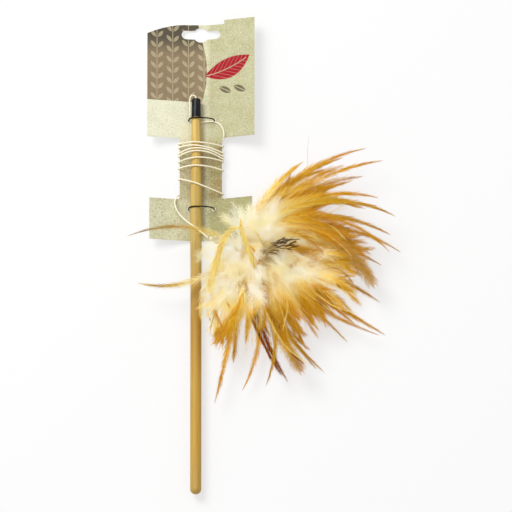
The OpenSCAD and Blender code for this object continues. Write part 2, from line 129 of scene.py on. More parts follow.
def headings(path, closed=False):
    if closed:
        return unit(np.roll(path, -1, axis=0) - np.roll(path, 1, axis=0))
    return unit(np.gradient(path, axis=0))


def ringFaces(rings, sides, first=0, closed=False):
    # quads from each ring of points to the next
    faces = []
    for i in range(rings if closed else rings - 1):
        near, far = first + i * sides, first + (i + 1) % rings * sides
        faces += [(near + j, near + (j + 1) % sides, far + (j + 1) % sides, far + j) for j in range(sides)]
    return faces


def sweep(path, radius, sides, start=(1, 0, 0), closed=False, strands=0, lay=3.0, depth=0.0):
    # a tube round a path; with strands, its rings have lobes that turn with the lay of the cord
    along = headings(path, closed)
    across = np.zeros_like(path)
    n = np.array(start, float)
    for i in range(len(path)):
        n = unit(n - n.dot(along[i]) * along[i])
        across[i] = n
    count = len(path)
    run = np.concatenate([[0], np.cumsum(np.linalg.norm(np.diff(path, axis=0), axis=1))])
    slip = 0.0
    if closed:
        back = unit(n - n.dot(along[0]) * along[0])
        slip = math.atan2(np.cross(back, across[0]).dot(along[0]), back.dot(across[0]))
    turn = np.linspace(0, 2 * math.pi, sides, endpoint=False)
    angle = turn[None, :] + (slip * np.arange(count) / count)[:, None]
    radii = np.broadcast_to(np.asarray(radius, float), (count,))[:, None]
    lobe = 1 + depth * np.cos(strands * turn[None, :] - 2 * math.pi * run[:, None] / lay)
    up = np.cross(along, across)
    rings = path[:, None, :] + (radii * lobe)[:, :, None] * (
        across[:, None, :] * np.cos(angle)[:, :, None] + up[:, None, :] * np.sin(angle)[:, :, None])
    faces = ringFaces(count, sides, closed=closed)
    if not closed:
        faces.append(tuple(range(sides - 1, -1, -1)))
        faces.append(tuple(range((count - 1) * sides, count * sides)))
    return rings.reshape(-1, 3), faces


def lathe(profile, sides=48):
    # a closed body of revolution about +Y from [radius, y] rows that start and end on the axis
    turn = np.linspace(0, 2 * math.pi, sides, endpoint=False)
    points = [(0, profile[0][1], 0)]
    for r, y in profile[1:-1]:
        points += [(r * math.cos(a), y, -r * math.sin(a)) for a in turn]
    points.append((0, profile[-1][1], 0))
    last = len(points) - 1
    faces = [(0, 1 + (j + 1) % sides, 1 + j) for j in range(sides)]
    faces += ringFaces(len(profile) - 2, sides, first=1)
    faces += [(last, last - sides + j, last - sides + (j + 1) % sides) for j in range(sides)]
    return np.array(points), faces


def joined(parts):
    # several bodies as one list of points and faces
    points, faces, first = [], [], 0
    for p, f in parts:
        points.append(p)
        faces += [tuple(first + k for k in face) for face in f]
        first += len(p)
    return np.concatenate(points), faces


def attach(piece, body, replaced):
    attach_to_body(piece, body)
    if replaced:
        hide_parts(*replaced)


def makePiece(name, body, material, points, faces, replaced):
    mesh = bpy.data.meshes.new(name)
    mesh.from_pydata((np.asarray(points) * mm).tolist(), [], faces)
    mesh.shade_smooth()
    mesh.materials.append(material)
    piece = placed(name, mesh)
    attach(piece, body, replaced)
    return piece


# Node trees are written as expressions on their sockets
class Wire:
    def __init__(self, tree, socket=None):
        self.tree = tree
        self.socket = socket

    def node(self, kind, settings=None, inputs=None, output=0):
        made = self.tree.nodes.new(kind)
        for key, value in (settings or {}).items():
            if key == "stops":
                ramp = made.color_ramp.elements
                ramp[0].position, ramp[1].position = value[0][0], value[-1][0]
                for place, _ in value[1:-1]:
                    ramp.new(place)
                for element, (_, colour) in zip(ramp, value):
                    element.color = colour
            else:
                setattr(made, key, value)
        for key, value in (inputs or {}).items():
            if isinstance(value, Wire):
                self.tree.links.new(value.socket, made.inputs[key])
            else:
                made.inputs[key].default_value = value
        return Wire(self.tree, made.outputs[output])

    def maths(self, operation, *others):
        values = dict(enumerate((self,) + others))
        return self.node("ShaderNodeMath", {"operation": operation}, values)

    def __add__(self, other):
        return self.maths("ADD", other)

    __radd__ = __add__

    def __sub__(self, other):
        return self.maths("SUBTRACT", other)

    def __rsub__(self, other):
        return self.node("ShaderNodeMath", {"operation": "SUBTRACT"}, {0: other, 1: self})

    def __mul__(self, other):
        return self.maths("MULTIPLY", other)

    __rmul__ = __mul__

    def __truediv__(self, other):
        return self.maths("DIVIDE", other)

    def __pow__(self, other):
        return self.maths("POWER", other)

    def __abs__(self):
        return self.maths("ABSOLUTE")

    def larger(self, other):
        return self.maths("MAXIMUM", other)

    def step(self, low, high):
        # 0 below low, 1 above high and a smooth rise between
        return self.node("ShaderNodeMapRange", {"interpolation_type": "SMOOTHSTEP"},
                         {"Value": self, "From Min": low, "From Max": high})

    def blend(self, under, over, mode="MIX"):
        # two colours mixed by this socket
        return self.node("ShaderNodeMix", {"data_type": "RGBA", "blend_type": mode},
                         {0: self, 6: under, 7: over}, 2)

    def axis(self, k):
        return self.node("ShaderNodeSeparateXYZ", None, {"Vector": self}, k)

    def noise(self, scale, stretch=(1, 1, 1), detail=2.0, rough=0.5):
        place = self.node("ShaderNodeMapping", None, {"Vector": self, "Scale": stretch})
        return self.node("ShaderNodeTexNoise", None,
                         {"Vector": place, "Scale": scale, "Detail": detail, "Roughness": rough})

    def patches(self, scale, stretch, detail, rough, low, high):
        # noise that is 0 below low and 1 above high
        return self.noise(scale, stretch, detail, rough).step(low, high)

    def bump(self, height, strength):
        return self.node("ShaderNodeBump", None,
                         {"Height": self, "Distance": height, "Strength": strength})


def paint(red, green, blue):
    # a colour as it looks on screen, 0 to 255, made linear
    share = np.array([red, green, blue]) / 255
    linear = np.where(share <= 0.04045, share / 12.92, ((share + 0.055) / 1.055) ** 2.4)
    return (*[float(c) for c in linear], 1.0)


def newMaterial(name, fixed, build):
    # fixed: constants of the shader; build(place) returns what varies, by socket name
    material = bpy.data.materials.new(name)
    material.use_nodes = True
    tree = material.node_tree
    shader = tree.nodes["Principled BSDF"]
    for key, value in fixed.items():
        shader.inputs[key].default_value = value
    place = Wire(tree).node("ShaderNodeTexCoord", None, None, "Object")
    for key, wire in build(place).items():
        tree.links.new(wire.socket, shader.inputs[key])
    return material


# The dowel: pale at the card, more orange below it, with long grain and a scuffed end
wood = {"end": paint(192, 157, 76), "low": paint(196, 155, 62), "middle": paint(181, 140, 52),
        "tab": paint(200, 176, 98), "neck": paint(206, 176, 90), "high": paint(221, 190, 106),
        "vein": paint(158, 108, 40), "fleck": paint(84, 58, 34), "fleckAt": (-4.3, 113.0),
        "fleckRim": (0.5, 1.1), "length": 320.0, "scuffed": (0.02, 0.07), "markLean": 0.9}
# Its grain and tool marks: noise scale, stretch, detail, roughness, 0 below, 1 above
woodLayers = {"broad": (320, (1, 0.03, 1), 3, 0.5, 0.42, 0.66),
              "fine": (1500, (1, 0.025, 1), 4, 0.6, 0.5, 0.72),
              "marks": (1400, (0.05, 1, 0.05), 2, 0.5, 0.6, 0.66)}


def dowelGrain(place):
    y = place.axis(1) / (wood["length"] * mm)
    body = y.node("ShaderNodeValToRGB", {"stops": [
        (0.0, wood["end"]), (0.1, wood["low"]), (0.3, wood["low"]), (0.45, wood["middle"]),
        (0.68, wood["tab"]), (0.84, wood["neck"]), (0.93, wood["high"]), (1.0, wood["high"])]}, {"Fac": y})
    broad, fine = (place.patches(*woodLayers[layer]) for layer in ("broad", "fine"))
    tone = (broad * 0.35).blend(body, wood["vein"])
    tone = (fine * 0.4).blend(tone, wood["vein"])
    # oblique tool marks near the grip's end
    lean = place.node("ShaderNodeMapping", None, {"Vector": place, "Rotation": (0, 0, wood["markLean"])})
    marks = lean.patches(*woodLayers["marks"]) * (1 - y.step(*wood["scuffed"]))
    tone = (marks * 0.35).blend(tone, wood["end"])
    # one dark fleck on the left side
    x, z = place.axis(0) - wood["fleckAt"][0] * mm, place.axis(2)
    near = (x * x * 3 + (place.axis(1) - wood["fleckAt"][1] * mm) ** 2 * 0.5 + z * z * 0.6) ** 0.5
    tone = ((1 - near.step(*[r * mm for r in wood["fleckRim"]])) * 0.85).blend(tone, wood["fleck"])
    height = fine * 0.6 + broad * 0.4
    return {"Base Color": tone, "Roughness": 0.5 + fine * 0.2, "Normal": height.bump(0.08 * mm, 0.6)}


dowelWood = newMaterial("dowelWood", {"Specular IOR Level": 0.35}, dowelGrain)

# The dipped cap: black, with cloudy bluish patches painted on as highlights
vinyl = {"body": paint(4, 8, 8), "paintedSheen": paint(44, 62, 68), "cloud": (260, (1, 0.5, 1), 3, 0.5, 0.45, 0.75)}


def capSkin(place):
    cloud = place.patches(*vinyl["cloud"])
    grit = place.noise(2600, (1, 1, 1), 2)
    # painted highlight: cloudy bluish patches over the black vinyl
    return {"Base Color": (cloud * 0.4).blend(vinyl["body"], vinyl["paintedSheen"]),
            "Roughness": 0.3 + cloud * 0.16, "Normal": (cloud + grit * 0.15).bump(0.1 * mm, 0.5)}


capVinyl = newMaterial("capVinyl", {"Specular IOR Level": 0.2}, capSkin)

# Thread, cord and quills
yarn = {"cord": paint(255, 248, 222), "cordShade": paint(232, 218, 178), "tie": paint(4, 4, 5),
        "tieWear": paint(20, 20, 23), "thread": paint(222, 212, 182)}


def threadLook(colour, shade, scale):
    def build(place):
        fuzz = place.noise(scale, (1, 1, 1), 3, 0.6)
        return {"Base Color": (fuzz.step(0.45, 0.75) * 0.5).blend(colour, shade),
                "Roughness": 0.7 + fuzz * 0.2, "Normal": fuzz.bump(0.06 * mm, 0.5)}
    return build


cordCotton = newMaterial("cordCotton", {"Specular IOR Level": 0.25, "Sheen Weight": 0.2},
                         threadLook(yarn["cord"], yarn["cordShade"], 2200))
tieThread = newMaterial("tieThread", {"Specular IOR Level": 0.12},
                        threadLook(yarn["tie"], yarn["tieWear"], 2600))
bindingThread = newMaterial("bindingThread", {"Specular IOR Level": 0.3},
                            threadLook(yarn["thread"], yarn["cordShade"], 2400))

# The card: recycled board, printed on the front of its header with a leaf pattern
card = {"board": paint(238, 238, 208), "bentSideShade": paint(160, 156, 102), "pale": paint(250, 249, 224),
        "neckShade": paint(150, 112, 52), "green": paint(204, 208, 166), "pink": paint(230, 218, 184),
        "shade": paint(190, 188, 150), "dark": paint(112, 98, 72), "cut": paint(240, 234, 214),
        "panel": paint(146, 126, 96), "panelTop": paint(70, 63, 50), "leaf": paint(196, 180, 144),
        "leafDark": paint(96, 80, 58), "red": paint(172, 22, 40), "redShade": paint(140, 16, 30),
        "headerY": 303.0, "tabTopY": 250.0, "holeX": (-6.2, 15.0), "holeY": (318.6, 241.5),
        "holeRim": (1.15, 1.6), "litSideX": (-12.0, 2.0), "bentX": (8.0, 13.0), "lowerY": (289.0, 307.0),
        "neckY": (246.0, 256.0)}
# Its board: noise scale, stretch, detail, roughness, 0 below, 1 above
boardLayers = {
    "soft": (420, (1, 1, 1), 3, 0.5, 0.35, 0.65), "broad": (90, (1, 1, 1), 2, 0.5, 0.3, 0.7),
    "fibre": (900, (1, 0.22, 1), 4, 0.65, 0.54, 0.7), "cross": (900, (0.22, 1, 1), 4, 0.65, 0.55, 0.7),
    "speck": (1300, (1, 1, 1), 1, 0.5, 0.7, 0.76), "neckShade": (90, (1, 1, 1), 3, 0.6, 0.42, 0.68),
    "grey": (820, (1, 1, 1), 3, 0.8, 0.52, 0.62), "light": (760, (1, 1, 1), 2, 0.7, 0.56, 0.66)
}
# Its pattern. A leaf is x, y, lean, length and width
motif = {"panelY": 335.0, "panelX": 5.0, "pitch": 9.0, "gap": 13.0, "offset": 0.37, "sprigX": 2.9,
         "sprigLean": 52.0, "sprigLeaf": (3.7, 1.35), "vein": (0.12, 0.26), "stem": (0.2, 0.4),
         "darkerY": (372, 392), "ribWidth": (0.3, 0.5), "sideRib": (0.14, 0.34), "smallVein": (0.15, 0.4),
         "red": (26.5, 363.0, 22.0, 20.0, 8.6), "bow": 0.006, "small": (36.0, 344.5, -30.0, 6.0, 2.6),
         "smallShifts": (-12.0, 0.0)}


def turned(x, y, degrees):
    # two coordinates in a frame turned by an angle
    c, s = math.cos(math.radians(degrees)), math.sin(math.radians(degrees))
    return x * c + y * s, y * c - x * s


def leafMask(x, y, length, width):
    # a pointed leaf along x, 1 inside
    rim = 1 - (x / length) ** 2
    return (1 - (abs(y) / (width * rim.larger(0.001))).step(0.92, 1.06)) * rim.step(0, 0.02)


def cardPrint(place):
    x, y = place.axis(0) / mm, place.axis(1) / mm
    facing = place.node("ShaderNodeNewGeometry", None, None, "Normal").axis(2)
    front, cutEdge = facing.step(0.6, 0.8), 1 - abs(facing).step(0.5, 0.75)
    # board: two tints, fibres both ways and dark specks
    seen = {layer: place.patches(*row) for layer, row in boardLayers.items()}
    tint = seen["soft"].blend(card["green"], card["pink"])
    board = (seen["broad"] * 0.6).blend(tint, card["board"])
    for layer, colour, amount in (("fibre", "shade", 0.42), ("cross", "pink", 0.34), ("speck", "dark", 0.6)):
        board = (seen[layer] * amount).blend(board, card[colour])
    lower, bent = 1 - y.step(*card["lowerY"]), x.step(*card["bentX"])
    board = (lower * 0.3).blend(board, card["shade"])
    # painted light: the left side is painted palest, as lit; the side that is bent up at the right gets
    # painted shade, as it faces away from the lamp, most at the neck
    board = ((1 - x.step(*card["litSideX"])) * (1 - lower) * 0.6).blend(board, card["pale"])
    board = (bent * (0.5 + lower * 0.3)).blend(board, card["bentSideShade"])
    # painted shade on the neck between the dowel and the cord, mottled
    neck = lower * y.step(*card["neckY"])
    board = (neck * (seen["neckShade"] * 0.4 + 0.22)).blend(board, card["neckShade"])
    board = (seen["grey"] * (0.26 + lower * 0.24 + bent * 0.06)).blend(board, card["dark"])
    board = (seen["light"] * 0.3).blend(board, card["pale"])
    # panel of sprigs at the left of the header
    rim = motif["panelX"] + ((y - motif["panelY"]) * 0.06).maths("SINE") * 4
    panel = (1 - (x - rim).step(-0.15, 0.15)) * y.step(motif["panelY"] - 0.1, motif["panelY"] + 0.1)
    column = (x / motif["gap"]).maths("FLOOR")
    across = abs(x - (column + 0.5) * motif["gap"])
    climb = y + column * motif["pitch"] * motif["offset"]
    along = climb - ((climb / motif["pitch"]).maths("FLOOR") + 0.5) * motif["pitch"]
    u, v = turned(across - motif["sprigX"], along, motif["sprigLean"])
    sprig = leafMask(u, v, *motif["sprigLeaf"]) * (0.4 + abs(v).step(*motif["vein"]) * 0.6)
    sprig = sprig.larger(1 - across.step(*motif["stem"]))
    ground = y.step(*motif["darkerY"]).blend(card["panel"], card["panelTop"])
    grain = place.noise(600, (1, 1, 1), 4, 0.7)
    ground = (grain.step(0.35, 0.75) * 0.35).blend(ground, card["leafDark"])
    ground = (sprig * (0.8 - grain.step(0.4, 0.9) * 0.3)).blend(ground, card["leaf"])
    face = (panel * 0.96).blend(board, ground)
    # one large red leaf and two small brown ones at the right
    cx, cy, lean, length, width = motif["red"]
    u, v = turned(x - cx, y - cy, lean)
    bowed = v - u * u * motif["bow"]
    rib = (1 - abs(bowed).step(*motif["ribWidth"])) * (1 - u.step(length * 0.8, length * 0.86))
    side = (u * 0.9 - abs(v) * 1.1).maths("PINGPONG", 2.0)
    rib = rib.larger((1 - side.step(*motif["sideRib"])) * 0.55)
    red = (grain.step(0.4, 0.7) * 0.5).blend(card["red"], card["redShade"])
    face = (leafMask(u, bowed, length, width) * (1 - rib * 0.75)).blend(face, red)
    cx, cy, lean, length, width = motif["small"]
    for shift in motif["smallShifts"]:
        u, v = turned(x - cx - shift, y - cy, lean)
        ink = leafMask(u, v, length, width) * abs(v).step(*motif["smallVein"])
        face = (ink * 0.85).blend(face, card["leafDark"])
    tone = front.blend(board, face)
    # torn rims round the punched holes, pale cut edges
    for hx in card["holeX"]:
        for hy in card["holeY"]:
            near = ((x - hx) ** 2 + (y - hy) ** 2) ** 0.5 + (grain - 0.5) * 0.9
            tone = (1 - near.step(*card["holeRim"])).blend(tone, card["cut"])
    tone = (cutEdge * 0.8).blend(tone, card["cut"])
    height = seen["fibre"] * 0.5 + seen["cross"] * 0.4 + place.noise(60, (1, 1, 1), 2) * 1.5
    return {"Base Color": tone, "Roughness": 0.72 + seen["soft"] * 0.12 - panel * front * 0.15,
            "Normal": height.bump(0.12 * mm, 0.5)}


cardBoard = newMaterial("cardBoard", {"Specular IOR Level": 0.25}, cardPrint)

for name, material in (("dowel", dowelWood), ("end_cap", capVinyl), ("header_card", cardBoard)):
    nodes[name].data.materials.clear()
    nodes[name].data.materials.append(material)
print("materials made")


# The cord. Its routes are those of the model, in millimetres
cord = {"d": 1.2, "gap": 0.1, "hingeGap": 0.3, "lay": 3.2, "depth": 0.07, "sides": 12, "step": 0.4,
        "mouthY": 319.8, "neckX": (-13.6, 21.4), "neckH": 53.0}
leadRoute = [
    [0, 14.9, 0], [0, 16.2, 0], [-0.2, 17.6, 0.1], [-1.2, 18.9, 0.2], [-2.8, 19.3, 0.3],
    [-4.3, 18.4, 0.3], [-5, 16.7, 0.3], [-5.2, 14, 0.4], [-5.1, 10, 0.5], [-5, 5, 0.3],
    [-5, 1.8, -0.2], [-4.9, 0.2, -0.9], [-4.75, -1.2, -1.8], [-3.9, -2.4, -3],
    [-2.2, -3, -3.95], [0, -3.2, -4.4], [2.6, -3, -4.4], [5.2, -2.6, -4.4],
    [8, -2.3, -4.45], [10.8, -2.1, -4.3], [13.2, -2.3, -3.75], [16, -3.1, -2.75],
    [18.8, -4.7, -1.75], [21, -7.2, -1], [22.4, -10.3, -0.5], [22.9, -12, -0.3],
    [23, -13.3, -0.2]
]
turnRoute = [
    [23, 2.2, -0.2], [23, 1, -0.2], [22.95, 0, -0.4], [22.8, -0.9, -1.25],
    [22.6, -1.5, -2.15], [21.8, -1.9, -3.05]
]
tailRoute = [
    [-16.5, 0.2, -1.1], [-17.2, -1.8, -0.4], [-17.5, -4.2, 0.3], [-16.9, -7.6, 1],
    [-15.6, -11.2, 1.8], [-13.6, -14.6, 2.8], [-11, -18, 4], [-8, -21.2, 5.4],
    [-4.8, -24.1, 6.7], [-1.5, -26.8, 7.9], [1.6, -29.5, 9], [4.4, -32.2, 10.2],
    [6.9, -34.8, 11.3], [8.6, -36.6, 12], [9.9, -38, 12.5]
]
leftShares = [0.106, 0.164, 0.26, 0.309, 0.4, 0.506, 0.677, 0.936]
overShares = [0.108, 0.162, 0.206, 0.25, 0.36, 0.49, 0.783]
rightShares = [0.03, 0.151, 0.257, 0.313, 0.355, 0.396, 0.542, 0.925]
trough = {"cardZ": -5.3, "t": 0.55, "left": -3.6, "right": 11.4, "bendRun": 3.0,
          "leftRise": 13.0, "rightRise": 19.0}
dowelStations = ([0, 190, 205, 255, 319.8], [4.6, 4.6, 4.8, 4.8, 3.6])
edge = {"r": 1.7, "stand": 1.3, "leftTurn": 130, "rightTurn": 65, "power": 1.9, "steps": 8}


def dowelR(y):
    return float(np.interp(y, *dowelStations))


def bendRise(d, rise):
    run = trough["bendRun"]
    climb = 0 if d <= -run else (d if d >= run else (d + run) ** 2 / (4 * run))
    return climb * math.tan(math.radians(rise))


def cardFront(x):
    return (trough["cardZ"] + bendRise(x - trough["right"], trough["rightRise"])
            + bendRise(trough["left"] - x, trough["leftRise"]))


def strandLevel(x, rise):
    return cardFront(x) - (trough["t"] + cord["gap"] + cord["d"] / 2) / math.cos(math.radians(rise))


def arcPoints(centre, r, fromTurn, toTurn, steps):
    turns = np.radians(np.linspace(fromTurn, toTurn, steps + 1))
    return [(centre[0] + r * math.cos(a), centre[1] + r * math.sin(a)) for a in turns]


def windingRoute():
    # seven turns: behind the neck, round its left edge, over the dowel, round its right edge
    def neckEdge(side, way, x):
        # where the cord leaves the card's back, and the middle of its bend round that edge
        rise = math.radians(trough[side + "Rise"])
        foot = x + way * edge["stand"] - way * edge["r"] * (1 - math.sin(rise))
        level = strandLevel(foot, trough[side + "Rise"])
        return foot, (foot - way * edge["r"] * math.sin(rise), level + edge["r"] * math.cos(rise))

    leftFoot, leftCentre = neckEdge("left", -1, cord["neckX"][0])
    rightFoot, rightCentre = neckEdge("right", 1, cord["neckX"][1])
    leftArc = arcPoints(leftCentre, edge["r"], 270 - trough["leftRise"], edge["leftTurn"], 4)
    rightArc = arcPoints(rightCentre, edge["r"], edge["rightTurn"], trough["rightRise"] - 90, 4)

    def neckY(share):
        return card["headerY"] - cord["neckH"] * share

    def frontY(turn, u):
        left, over = neckY(leftShares[turn - 1]), neckY(overShares[turn - 1])
        right = neckY(rightShares[turn])
        m = leftArc[-1][0] / (leftArc[-1][0] - rightArc[0][0])
        return mix(left, right, u) + (over - mix(left, right, m)) * u * (1 - u) / (m * (1 - m))

    def frontLevel(x, y):
        foot = leftArc[-1] if x < 0 else rightArc[0]
        return mix(dowelR(y) + cord["d"] / 2 + cord["hingeGap"], foot[1], (x / foot[0]) ** edge["power"])

    def backPass(turn):
        points = []
        for side, way in (("right", 1), ("left", -1)):
            bendX, rise = trough[side], trough[side + "Rise"]
            for step in (-1, 0, 1):
                x = bendX - step * trough["bendRun"]
                u = (rightFoot - x) / (rightFoot - leftFoot)
                level = strandLevel(x, rise * (1 - way * step) / 2)
                points.append([x, neckY(mix(rightShares[turn - 1], leftShares[turn - 1], u)), level])
        return points

    route = [[x, y + card["headerY"], z] for x, y, z in turnRoute]
    for turn in range(1, len(overShares) + 1):
        route += backPass(turn)
        route += [[x, neckY(leftShares[turn - 1]), z] for x, z in leftArc]
        for i in range(1, edge["steps"] + 1):
            u = i / (edge["steps"] + 1)
            x = mix(leftArc[-1][0], rightArc[0][0], u)
            y = frontY(turn, u)
            route.append([x, y, frontLevel(x, y)])
        route += [[x, neckY(rightShares[turn]), z] for x, z in rightArc]
    route += backPass(len(overShares) + 1)
    route += [[x, neckY(leftShares[-1]), z] for x, z in leftArc[:3]]
    return route


tailPoints = np.array(tailRoute) + [0, card["tabTopY"], 0]
tailDir = unit(tailPoints[1] - tailPoints[0])
windingEnd = tailPoints[0] - (cord["d"] / 2 + cord["hingeGap"]) * tailDir
leadPoints = [[x, y + cord["mouthY"], z] for x, y, z in leadRoute]
lastPoints = [list(windingEnd - cord["d"] * tailDir), list(windingEnd)]
cordPath = smooth(leadPoints + windingRoute() + lastPoints, cord["step"])[3:]    # from the cap's mouth on
tailPath = smooth([list(windingEnd)] + tailPoints.tolist(), cord["step"])


def makeCord(name, body, path, replaced):
    points, faces = sweep(path, cord["d"] / 2, cord["sides"], strands=3, lay=cord["lay"],
                          depth=cord["depth"])
    piece = makePiece(name, body, cordCotton, points, faces, replaced)


makeCord("cordWound", "wand", cordPath, ("cord_lead", "cord_winding"))
makeCord("cordFree", "tail", tailPath, ("cord_tail",))


# Knots: turns of the cord side by side round its own line
knot = {"turns": 3, "steps": 16, "sides": 8, "tuck": 0.25, "r": 1.9, "len": 3.306, "capTopY": 336.0,
        "capEnd": 1.2}


def knotCoil():
    # a helix along +Y from the origin, its ends tucked in to the middle
    r = knot["r"] - cord["d"] / 2
    pitch = knot["len"] / knot["turns"]
    t = np.linspace(0, 1, knot["steps"] * knot["turns"] + 1)
    turn = 2 * math.pi * knot["turns"] * t
    y = cord["d"] / 2 + (knot["len"] - cord["d"]) * t
    reach = r * np.minimum(1, 8 * np.minimum(t, 1 - t) + knot["tuck"])
    helix = np.stack([reach * np.cos(turn), y, -reach * np.sin(turn)], axis=1)
    line = np.array([[0, 0.1, 0], [0, knot["len"] / 2, 0], [0, knot["len"] - 0.1, 0]])
    coil = sweep(helix, min(cord["d"], pitch) * 0.5, knot["sides"])
    return joined([coil, sweep(line, cord["d"] * 0.6, 10)])


points, faces = knotCoil()
base = knot["capTopY"] - knot["capEnd"] - cord["gap"] - knot["len"]
makePiece("capKnot", "wand", cordCotton, points + [0, base, 0], faces, ("cap_knot",))

# The lure's own axis: from the knot's centre towards the fan
lure = {"at": np.array([9.9, 212.0, 12.5]), "turn": -13.0, "bindingR": 3.4, "bindingLen": 27.0,
        "waist": 0.93, "ballR": 6.2, "threadTurns": 24, "threadD": 0.5}


def onLure(points):
    turn = math.radians(lure["turn"] - 90)
    c, s = math.cos(turn), math.sin(turn)
    x, y, z = points.T
    return np.stack([x * c - y * s, x * s + y * c, z], axis=1) + lure["at"]


knotStart = cord["d"] / 2 + cord["hingeGap"]
makePiece("lureKnot", "lure", cordCotton, onLure(points + [0, knotStart, 0]), faces, ("lure_knot",))


def bindingBody():
    # gathered quills that swell into the ball, and one thread wound over them
    begin = knotStart + knot["len"]
    r, length, ball = lure["bindingR"], lure["bindingLen"], lure["ballR"]
    waist = r * lure["waist"]
    ballStart = length - math.sqrt(ball ** 2 - r ** 2)
    profile = [[0, begin], [r * 0.5, begin + 0.05], [r * 0.8, begin + 0.7], [waist, begin + 2.4],
               [waist, ballStart]]
    swell = np.radians(np.linspace(-56, 84, 16))
    profile += [[ball * math.cos(a), length + ball * math.sin(a)] for a in swell]
    profile += [[0, length + ball]]
    t = np.linspace(0, 1, 20 * lure["threadTurns"] + 1)
    turn = 2 * math.pi * lure["threadTurns"] * t
    y = mix(begin + 2.6, ballStart - 0.2, t)
    wind = waist + lure["threadD"] * 0.1
    helix = np.stack([wind * np.cos(turn), y, -wind * np.sin(turn)], axis=1)
    return joined([lathe(profile), sweep(helix, lure["threadD"] / 2, 6)])


points, faces = bindingBody()
makePiece("quillBinding", "lure", bindingThread, onLure(points), faces, ("quill_binding",))

# The two ties: black thread through two holes, over the dowel and across the back
tie = {"d": 1.05, "lay": 2.4, "step": 0.35, "sides": 10, "underX": 3.9}


def tieLoop(y):
    r = tie["d"] / 2
    left, right = card["holeX"]
    top = dowelR(y) + r + cord["gap"]
    back = trough["cardZ"] - trough["t"] - cord["gap"] - r

    def arch(x, turn):
        foot = cardFront(x)
        return [x * math.cos(turn) ** 0.8, y, foot + (top - foot) * math.sin(turn) ** 0.8]

    turns = np.radians(np.linspace(0, 90, 7))
    route = [arch(left, a) for a in turns] + [arch(right, a) for a in turns[-2::-1]]
    under = [
        [right, cardFront(right) - trough["t"]],
        [right - r, cardFront(right - tie["d"]) - trough["t"] - r - cord["gap"]],
        [trough["right"] - r, back], [tie["underX"], back], [trough["left"] + r, back],
        [left + r, back], [left, back + r]
    ]
    route += [[x, y, z] for x, z in under]
    path = smooth(route, tie["step"], closed=True)
    rounds = max(1, round(len(path) * tie["step"] / tie["lay"]))
    lay = float(np.linalg.norm(np.diff(path, axis=0, append=path[:1]), axis=1).sum()) / rounds
    return sweep(path, r, tie["sides"], start=(0, 1, 0), closed=True, strands=2, lay=lay, depth=0.08)


for label, y in zip(("upper", "lower"), card["holeY"]):
    points, faces = tieLoop(y)
    makePiece(label + "Tie", "wand", tieThread, points, faces, (label + "_tie",))
print("cords, knots, binding and ties made")


# Feathers. A tree grows barbs on both sides of each shaft. Each of the bends is how far one kind of
# hair bends and sags; chance changes its reach and loft within the limits given
barbShape = {"bends": ((0.12, 0.05), (0.22, -0.04), (0.05, 0.1), (0.3, 0.02)), "section": (0.5, 0.22, 1),
             "leastLean": 0.14, "reach": (0.8, 1.12), "loft": (-0.6, 1.0), "quillStep": 4.0, "grain": 0.3,
             "seed": 11}


